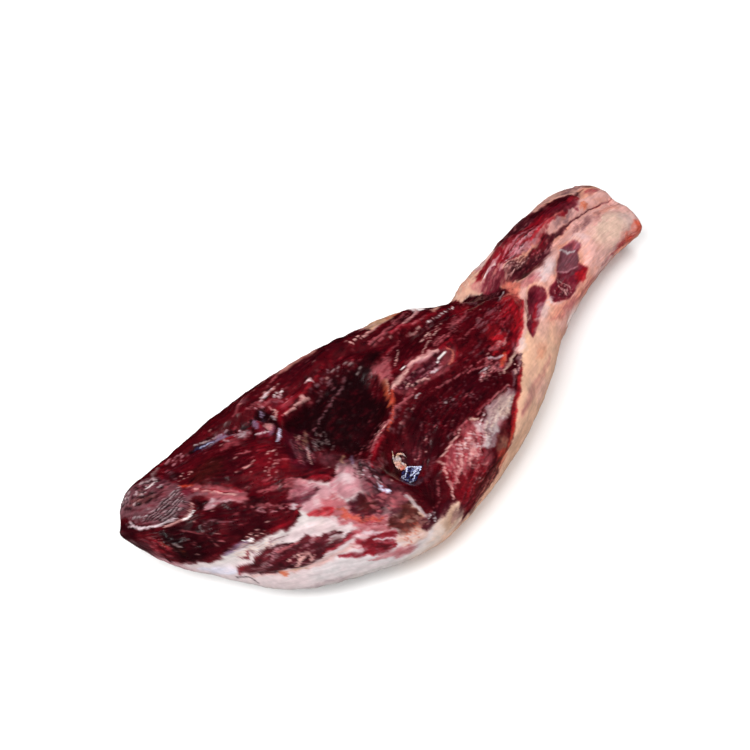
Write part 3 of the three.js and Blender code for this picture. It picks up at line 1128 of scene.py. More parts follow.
FLANK: tuple[Feature, ...] = (
    # fat of the near flank, in the shade towards the floor
    Patch(Ink.CHALK, ((-278, 14), (-262, -4), (-248, -18), (-226, -24), (-196, -32), (-168, -44),
        (-150, -62), (-118, -104), (-100, -120), (-130, -128), (-180, -108), (-215, -90),
        (-245, -52), (-268, -20)), 10),
    Patch(Ink.PALE, ((-204, -70), (-180, -74), (-150, -92), (-122, -106), (-96, -114), (-72, -112),
        (-70, -132), (-96, -140), (-130, -130), (-170, -110), (-200, -92)), 14, 0.6),
    Wash(Ink.MAUVE, (-190, -102), (30, 5), -30, 0.25),
    # a broad painted bluish sheen over the tip's near side
    Stroke(Ink.FROST, ((-268, -2), (-258, -14), (-250, -26)), 6, 0.55, soft=1),
    # a painted bluish sheen with a painted glint on it, and mottled fat below the dark muscle
    Stroke(Ink.LILAC, ((-250, -6), (-240, -9), (-229, -12)), 4),
    Wash(Ink.GLINT, (-229, -11), (2.6, 1.6), strength=1, lift=0.5),
    Fan(Ink.MAUVE, ((-248, -8), (-232, -14), (-214, -20)), ((-246, -18), (-226, -28), (-196, -36)),
        12, 391, 0.6, lift=-0.4, wobble=1.2),
    Fan(Ink.CREAM, ((-248, -8), (-232, -14), (-214, -20)), ((-246, -18), (-226, -28), (-196, -36)),
        9, 392, 0.7, wobble=1.2),
    Wash(Ink.CRIMSON, (-240, -18.5), (3.5, 2.2), strength=0.9, lift=-0.3),
    Flecks(Ink.MAUVE, (-226, -22), (20, 4), -12, 16, 51, strength=0.6, lift=-0.3),
    # the lower muscle
    Patch(Ink.LEAN, ((-248, -23), (-240, -26), (-231, -26), (-222, -28), (-214, -34), (-206, -38),
        (-201, -43), (-194, -42), (-189, -47), (-182, -52), (-175, -56), (-168, -61), (-170, -66),
        (-182, -68), (-192, -67), (-202, -63), (-212, -58), (-222, -51), (-230, -47), (-238, -38),
        (-244, -32)), 2, lift=0.7),
    Patch(Ink.MAROON, ((-226, -40), (-212, -38), (-196, -48), (-180, -58), (-186, -66), (-204, -61),
        (-222, -50)), 5, 0.35),
    Fan(Ink.WINE, ((-240, -28), (-222, -32), (-196, -46)), ((-236, -42), (-216, -54), (-176, -66)),
        12, 393, strength=0.6, lift=-0.3),
    Fan(Ink.PINK, ((-214, -44), (-206, -46), (-196, -50)), ((-210, -58), (-200, -60), (-190, -61)),
        8, 394, 0.5, wobble=1.4),
    Stroke(Ink.PINK, ((-204, -50), (-206, -54), (-209, -59)), (1.1, 1.4, 1.1), 0.8),
    Stroke(Ink.PINK, ((-211, -56), (-206, -55), (-200, -56)), (1.1, 1.4, 1.1), 0.9),
    Stroke(Ink.PINK, ((-198, -56), (-198, -60), (-200, -65)), (1, 1.3, 1), 0.7),
    Stroke(Ink.BLUSH, ((-226, -40), (-221, -36), (-215, -35), (-210, -38)), 1.2),
    Wash(Ink.CRIMSON, (-246, -27), (3.5, 6), 10, 0.7),
    Stroke(Ink.DUSK, ((-228, -40), (-220, -37), (-211, -39), (-206, -46)), 1.2),
    Stroke(Ink.ROSE, ((-216, -36), (-208, -41), (-200, -44)), 2),
    Stroke(Ink.WINE, ((-219, -31), (-210, -36), (-202, -42)), (1.4, 2, 1.2), lift=-0.4),
    Stroke(Ink.ASH, ((-184, -62), (-176, -63), (-168, -66)), (1, 2, 1.4), broken=0.2),
    Stroke(Ink.STONE, ((-178, -60), (-170, -64), (-163, -69)), 1.2),
    Stroke(Ink.CRIMSON, ((-188, -66), (-174, -69), (-160, -72), (-152, -75)), (1.5, 3, 3.4, 1.5)),
    Stroke(Ink.WINE, ((-186, -64), (-172, -68), (-160, -69)), 1.6, 0.7, 0),
    # rims and streaks in the fat below it
    Stroke(Ink.NIGHT, ((-249, -33), (-243, -40), (-238, -50)), (1, 1.4, 0.6), 0.75, -0.4),
    Stroke(Ink.PINK, ((-243, -35), (-233, -46), (-222, -54), (-212, -61), (-196, -69), (-178, -75),
        (-160, -82)), (1.2, 1.6, 2, 3, 4, 4, 4), 0.75, rag=1),
    Stroke(Ink.ORANGE, ((-223, -51), (-220, -60)), 3, lift=0),
    Stroke(Ink.TAN, ((-216, -57), (-209, -62), (-204, -66)), 2, 0.7, rag=1),
    Stroke(Ink.CRIMSON, ((-180, -78), (-172, -84), (-165, -90), (-157, -96), (-148, -100)),
        (1.4, 3, 3.2, 2.8, 1.6), lift=-0.3),
    Wash(Ink.BLUSH, (-150, -90), (24, 12), -40),
    Fan(Ink.ROSE, ((-176, -74), (-160, -86), (-140, -100)), ((-164, -66), (-148, -78), (-130, -94)),
        12, 401, 1.1, lift=-0.2),
    # reddish and orange fat next to the hip
    Patch(Ink.ROSE, ((-168, -34), (-152, -36), (-146, -50), (-140, -66), (-128, -80), (-120, -86),
        (-132, -92), (-148, -84), (-158, -66), (-166, -50)), 6, lift=0.6, rag=2),
    Patch(Ink.BRIGHT, ((-180, -32), (-173, -33), (-166, -37), (-160, -43), (-166, -46),
        (-174, -40)), 2, 0.8, rag=0.6),
    Stroke(Ink.RUST, ((-158, -46), (-154, -56), (-149, -64), (-142, -72), (-134, -79)),
        (1.5, 3.2, 3.6, 2.6, 1.2), 0.65, rag=1.4),
    Fan(Ink.CRIMSON, ((-160, -58), (-148, -74), (-134, -86)), ((-150, -52), (-140, -66),
        (-128, -80)), 7, 302, 0.7, strength=0.6, lift=-0.3),
    Stroke(Ink.CRIMSON, ((-162, -78), (-157, -84), (-153, -89)), 4, lift=-0.3),
    Stroke(Ink.PEARL, ((-154, -76), (-146, -83), (-140, -88)), 2.4, lift=0.6),
    Patch(Ink.CRIMSON, ((-154, -82), (-144, -86), (-134, -94), (-133, -104), (-142, -108),
        (-154, -101), (-162, -94), (-158, -88)), lift=-0.4, rag=1.4),
    Wash(Ink.WINE, (-146, -97), (9, 4), -40),
    Stroke(Ink.CRIMSON, ((-144, -86), (-136, -92), (-130, -98)), 1.8, lift=0),
    Stroke(Ink.PEARL, ((-148, -88), (-138, -96), (-130, -104)), (0.6, 1.1, 0.8)),
    Stroke(Ink.ROSE, ((-160, -103), (-147, -109), (-135, -115), (-124, -122)), (1.4, 4, 4.4, 2),
        0.7, 0, rag=1),
)

HIP: tuple[Feature, ...] = (
    # the pink lump and the fatty wing on the hip
    Patch(Ink.DUSK, ((-134, -20), (-124, -14), (-116, -22), (-112, -38), (-110, -56), (-104, -70),
        (-112, -70), (-122, -60), (-134, -50), (-132, -36)), 5, lift=0.3, rag=1.6),
    Patch(Ink.BLUSH, ((-152, -28), (-144, -24), (-137, -20), (-129, -22), (-128, -32), (-129, -42),
        (-134, -50), (-144, -47), (-150, -38)), lift=1.6),
    Wash(Ink.CHALK, (-137, -32), (7, 10), 20, 0.75, 0.3),
    Stroke(Ink.CRIMSON, ((-156, -10), (-150, -16), (-144, -22)), 4.2, 0.95),
    Patch(Ink.DUSK, ((-140, -2), (-124, 2), (-116, 0), (-118, -12), (-128, -18), (-138, -14)), 6,
        0.45),
    Stroke(Ink.TAN, ((-128, -18), (-121, -9), (-115, -3)), 2.4),
    Stroke(Ink.LILAC, ((-124, -28), (-118, -18), (-111, -9)), 3.2, lift=0.6),
    Stroke(Ink.DUSK, ((-118, -40), (-117, -30), (-110, -18)), 3, 0.6),
    Wash(Ink.PLUM, (-118, -48), (8, 20), 16, 0.45),
    Flecks(Ink.NIGHT, (-118, -48), (7, 18), 10, 34, 69, (0.8, 2), lift=-0.6),
    Flecks(Ink.PEARL, (-117, -54), (7, 18), 18, 22, 70, stretch=1.5),
    Flecks(Ink.WINE, (-122, -38), (6, 9), 70, 12, 62, (0.8, 1.6), lift=-0.5),
    # ragged pits and scraps below it
    Patch(Ink.MAROON, ((-150, -49), (-138, -51), (-124, -55), (-112, -60), (-104, -72), (-106, -82),
        (-124, -82), (-136, -74), (-146, -64)), 4, lift=-1, rag=2),
    Wash(Ink.BROWN, (-136, -62), (12, 9), -40, 0.8, -0.6),
    Flecks(Ink.ROSE, (-124, -64), (14, 12), -50, 34, 64, (0.8, 2), lift=0.6),
    # painted bluish glints
    Flecks(Ink.FROST, (-117, -61), (8, 4), -50, 9, 65, (0.8, 1.6), strength=0.9),
    Patch(Ink.ROSE, ((-122, -66), (-114, -64), (-107, -72), (-104, -80), (-112, -82), (-120, -80)),
        5, 0.65, 0.5, rag=2),
    Patch(Ink.BROWN, ((-132, -84), (-120, -83), (-106, -82), (-104, -98), (-112, -103),
        (-126, -100), (-133, -94)), 5, lift=-1.2, rag=1.6),
    Wash(Ink.CORAL, (-119, -92), (6, 5), -20, 0.75, 1),
    Stroke(Ink.STONE, ((-106, -77), (-104, -86), (-102, -96), (-100, -106)), (1.4, 2.6, 2.4, 1.2),
        lift=0.9),
    Patch(Ink.BUFF, ((-130, -98), (-116, -100), (-106, -104), (-103, -114), (-112, -120),
        (-124, -116), (-132, -108)), 5, 0.6, 0.3, rag=1.6),
    Fan(Ink.RUST, ((-132, -96), (-130, -106), (-126, -116)), ((-106, -100), (-104, -108),
        (-102, -118)), 12, 398, 1.1, strength=0.6, lift=0.2),
    Wash(Ink.ROSE, (-130, -118), (16, 8), -30),
)

HOLLOW: tuple[Feature, ...] = (
    # the lumps at the end of the far furrow, with painted shade in the furrow's end round them
    Patch(Ink.NIGHT, ((-176, 88), (-160, 80), (-150, 78), (-140, 79), (-137, 70), (-139, 58),
        (-143, 48), (-149, 50), (-148, 66), (-158, 72), (-170, 78)), lift=-2),
    Patch(Ink.PLUM, ((-158, 74), (-152, 76), (-148, 70), (-148, 60), (-144, 52), (-150, 48),
        (-160, 50), (-161, 56), (-156, 62), (-160, 68)), lift=1.8),
    Wash(Ink.LILAC, (-150, 50), (5, 3), 20, lift=0.3),
    # a painted bluish glint
    Stroke(Ink.FROST, ((-154, 38), (-149, 42), (-144, 46)), 2.4, lift=0.8),
    Flecks(Ink.LILAC, (-142, 77), (3, 3), 0, 6, 71),
    # the flap behind them
    Patch(Ink.CRIMSON, ((-139, 82), (-130, 82), (-120, 76), (-108, 70), (-102, 64), (-110, 61),
        (-128, 60), (-134, 62), (-132, 72), (-134, 78)), lift=1.2, rag=0.7),
    Stroke(Ink.ROSE, ((-141, 82), (-134, 81), (-128, 79), (-120, 74)), (0.8, 1.5, 1.3, 0.8)),
    Stroke(Ink.BLUSH, ((-150, 87), (-142, 82), (-134, 79), (-124, 75), (-112, 69)),
        (0.5, 0.8, 0.7, 0.8, 0.5), lift=0.6, broken=0.15),
    Stroke(Ink.PINK, ((-133, 77), (-132, 70), (-137, 62)), (1, 1.8, 1.4), lift=0.8),
    Stroke(Ink.STONE, ((-138, 70), (-138, 64), (-140, 58)), 2.2, lift=0.8),
    Stroke(Ink.PINK, ((-132, 60), (-122, 60), (-112, 59), (-102, 59)), (0.8, 1.3, 1.8, 0.8),
        lift=0.9),
    Wash(Ink.PINK, (-106, 61), (5, 3), 10, 0.9, 0.6),
    Stroke(Ink.CRIMSON, ((-134, 60), (-138, 53), (-142, 46)), (2.5, 3.5, 2)),
    Wash(Ink.PINK, (-125, 87), (12, 3), lift=0.3),
    Fan(Ink.PINK, ((-138, 84), (-126, 84), (-112, 85)), ((-134, 90), (-124, 90), (-112, 89)), 8,
        306, 0.55),
    Fan(Ink.GLINT, ((-126, 76), (-118, 77), (-111, 79)), ((-126, 80), (-118, 83), (-110, 84)), 7,
        307, 0.55, strength=0.9),
    Fan(Ink.CRIMSON, ((-186, 74), (-184, 84), (-180, 94)), ((-162, 60), (-160, 72), (-160, 82)), 12,
        309, 1.3, (0.5, 0.9), lift=-0.3),
    Fan(Ink.PEARL, ((-188, 72), (-186, 82), (-182, 92)), ((-168, 62), (-166, 70), (-166, 80)), 9,
        310, 1.1, (0.4, 0.8)),
    Flecks(Ink.NIGHT, (-156, 62), (8, 12), 20, 14, 77, (0.8, 1.8), lift=-0.5),
    # far flank above: red streaks
    Stroke(Ink.ROSE, ((-162, 91), (-148, 97), (-138, 106)), (1.2, 3, 3), 0.65),
    Stroke(Ink.ROSE, ((-150, 86), (-140, 86), (-133, 84)), 1.6, 0.7),
    Stroke(Ink.ROSE, ((-120, 93), (-106, 96), (-92, 97)), 1.8, 0.7),
    Patch(Ink.BUFF, ((-106, 98), (-96, 104), (-80, 101), (-66, 99), (-56, 95), (-66, 92), (-82, 92),
        (-96, 94)), strength=0.65, lift=0.6),
    Patch(Ink.ROSE, ((-104, 104), (-88, 106), (-70, 102), (-68, 112), (-84, 118), (-104, 114)), 6,
        0.7, 0.4),
    Fan(Ink.PINK, ((-148, 96), (-142, 104), (-136, 112)), ((-112, 98), (-106, 108), (-100, 116)), 9,
        311, 1.4, (0.5, 0.9), 0.6),
    Wash(Ink.BROWN, (-80, 103), (22, 6)),
    Wash(Ink.MAROON, (-60, 84), (60, 12), -4, 0.45),
    Wash(Ink.WINE, (-30, 84), (40, 14), -4),
    # the deep hollow, painted near black for its shade
    Patch(Ink.NIGHT, ((-142, 44), (-128, 55), (-100, 56), (-70, 55), (-48, 50), (-30, 52),
        (-22, 44), (-44, 38), (-56, 26), (-60, 4), (-66, -8), (-88, -14), (-104, -16), (-112, -2),
        (-122, 12), (-134, 26)), 9),
    Wash(Ink.WINE, (-88, -4), (22, 10), strength=0.5),
    Wash(Ink.WINE, (-64, 60), (46, 5), strength=0.5),
    Stroke(Ink.DUSK, ((-122, 36), (-108, 39), (-92, 42), (-78, 46), (-64, 45)),
        (0.8, 1.4, 1.6, 1.6, 1), 0.75, 0.7, rag=1, broken=0.25),
    Stroke(Ink.MAUVE, ((-100, 59), (-88, 57), (-76, 56), (-66, 58)), (0.8, 1.2, 1.2, 0.8), 0.7,
        rag=1, broken=0.4),
    Flecks(Ink.ASH, (-60, 52), (14, 6), -35, 12, 74, stretch=3),
    Flecks(Ink.DUSK, (-82, 50), (18, 6), 0, 12, 75, stretch=3, strength=0.6),
    Stroke(Ink.CRIMSON, ((-110, 64), (-98, 63), (-84, 66), (-70, 69)), (1.2, 1.4, 1.2, 0.6),
        lift=0.7),
    Stroke(Ink.MAUVE, ((-98, 62), (-84, 62), (-70, 65)), 1),
    # a painted glint
    Wash(Ink.GLINT, (-92.5, 67), (3.2, 1.6), -10, 0.9, 0.5),
    # the steep wall on the rump's side
    Patch(Ink.MAROON, ((-160, 14), (-150, 34), (-142, 43), (-130, 46), (-122, 34), (-130, 20),
        (-140, 4), (-150, -6), (-158, 0)), 6),
    Fan(Ink.DUSK, ((-160, 2), (-152, 18), (-144, 36)), ((-140, 0), (-134, 16), (-128, 38)), 20, 312,
        1.1, (0.3, 0.8)),
    Fan(Ink.TAN, ((-146, 20), (-142, 30), (-138, 42)), ((-134, 14), (-128, 28), (-122, 42)), 14,
        319, 0.6, strength=0.6),
    Fan(Ink.ROSE, ((-158, 4), (-150, 18), (-144, 32)), ((-142, -2), (-136, 14), (-132, 34)), 9, 313,
        0.6, strength=0.8),
    Fan(Ink.NIGHT, ((-158, -2), (-150, 14), (-142, 34)), ((-130, -4), (-126, 12), (-122, 36)), 9,
        314, lift=-0.5),
    Fan(Ink.ASH, ((-138, 6), (-132, 18), (-126, 30)), ((-122, 4), (-116, 16), (-110, 28)), 12, 315,
        0.55),
    Stroke(Ink.TAN, ((-137, 22), (-131, 30), (-126, 40)), 2.6, 0.55, rag=1, broken=0.25),
    Stroke(Ink.PINK, ((-138, 29), (-135, 33), (-133, 38)), 1.4),
    Stroke(Ink.PINK, ((-148, -1), (-144, 7), (-140, 14), (-138, 19)), (0.5, 0.9, 1.5, 0.8),
        broken=0.15),
    Flecks(Ink.STONE, (-134, 17), (8, 4), 30, 14, 76),
    Flecks(Ink.ASH, (-122, 17), (14, 10), 40, 16, 77, stretch=3, strength=0.5),
    Flecks(Ink.ASH, (-124, 30), (10, 6), 40, 8, 78, stretch=3, strength=0.5),
    Wash(Ink.DUSK, (-132, 2), (12, 9), 40, 0.45),
    Wash(Ink.NIGHT, (-133, 15), (4, 9), -20, 0.7, -0.5),
    # the pale ridge across the hollow, and what hangs on it
    Stroke(Ink.CRIMSON, ((-116, -44), (-106, -34), (-96, -26), (-84, -22)), (1.5, 3.4, 3.4, 2),
        0.95, 0.6),
    Stroke(Ink.ROSE, ((-112, -34), (-102, -26), (-92, -20), (-80, -17), (-68, -17), (-56, -12),
        (-42, -10)), (0.8, 1.6, 2, 2, 1.8, 2, 1.4), lift=0.9, broken=0.1),
    Stroke(Ink.PINK, ((-90, -19), (-80, -17), (-70, -17)), 1.4),
    Flecks(Ink.PINK, (-83, -14), (9, 3), 10, 12, 79, (0.8, 2), 0.6, 0.9, 0.6),
    Flecks(Ink.ROSE, (-92, -20), (14, 4), 24, 14, 80, (0.8, 1.6)),
    Flecks(Ink.ROSE, (-102, -14), (6, 8), 60, 12, 81, strength=0.6),
    Stroke(Ink.PINK, ((-107, -45), (-102, -42), (-97, -40)), 1),
    Fan(Ink.ROSE, ((-118, -36), (-110, -46), (-96, -38)), ((-114, -30), (-106, -36), (-92, -30)), 6,
        316, 0.7, (0.5, 0.9)),
    Fan(Ink.ROSE, ((-106, -8), (-100, -16), (-96, -24)), ((-64, -6), (-70, -12), (-74, -18)), 16,
        317, 0.6),
    Fan(Ink.DUSK, ((-80, -52), (-70, -46), (-58, -40)), ((-72, -86), (-64, -76), (-60, -66)), 9,
        318, 0.7, (0.4, 0.9)),
    Flecks(Ink.DUSK, (-98, -36), (12, 5), 20, 16, 82),
    Stroke(Ink.NIGHT, ((-120, -30), (-116, -44), (-108, -50), (-98, -46)), (1, 2.4, 2.4, 1), 0.75,
        -0.8),
    Flecks(Ink.MAUVE, (-112, -42), (8, 5), -50, 12, 83),
    # the sinew scrap and the shiny film under it lie here as their own pieces; the near-black wash
    # round the scrap is painted shade under it
    Wash(Ink.NIGHT, (-84, -50), (16, 16), 20, 0.75),
    Wash(Ink.WINE, (-84, -80), (18, 26), 80, 0.7),
    Wash(Ink.NIGHT, (-86, -92), (12, 12), 60, 0.5),
    Stroke(Ink.DUSK, ((-96, -72), (-90, -75), (-84, -77)), 1.2, 0.7, broken=0.2),
    Stroke(Ink.ROSE, ((-80, -96), (-76, -92), (-72, -84)), 1.6, 0.6),
    Stroke(Ink.ROSE, ((-95, -101), (-86, -101), (-77, -99)), 1, 0.7, broken=0.3),
    Patch(Ink.MAROON, ((-108, -101), (-96, -102), (-82, -104), (-72, -106), (-76, -112),
        (-88, -114), (-98, -116), (-108, -113)), lift=-0.6),
    Flecks(Ink.STONE, (-96, -107), (6, 5), 0, 14, 84, stretch=1.4, strength=0.9),
    # the ridge's far end: orange fat at the head of the middle muscle
    Stroke(Ink.ORANGE, ((-44, 27), (-47, 18), (-51, 10), (-57, 2), (-60, -6)),
        (1.8, 3.4, 4, 3.4, 2), 0.7, 1, rag=1),
    Stroke(Ink.RUST, ((-50, 2), (-55, -3), (-60, -10)), 3.2, 0.7),
    Stroke(Ink.BUFF, ((-42, 28), (-45, 18), (-49, 9), (-54, 2)), (1.2, 2.2, 2, 0.8), 0.7, 0.6),
    Stroke(Ink.RUST, ((-60, -10), (-68, -17), (-76, -21)), (1.4, 1.8, 1)),
    # the near wall of the hollow
    Wash(Ink.MAROON, (-62, -50), (26, 20), 30, 0.5),
    Stroke(Ink.ROSE, ((-70, -57), (-64, -51), (-55, -44)), 1.1),
    Stroke(Ink.DUSK, ((-80, -80), (-70, -72), (-60, -64)), 1.6, 0.6, rag=1, broken=0.3),
    Flecks(Ink.DUSK, (-62, -20), (14, 8), 0, 26, 86),
    Flecks(Ink.ASH, (-52, -22), (12, 6), 10, 14, 87, strength=0.6),
)

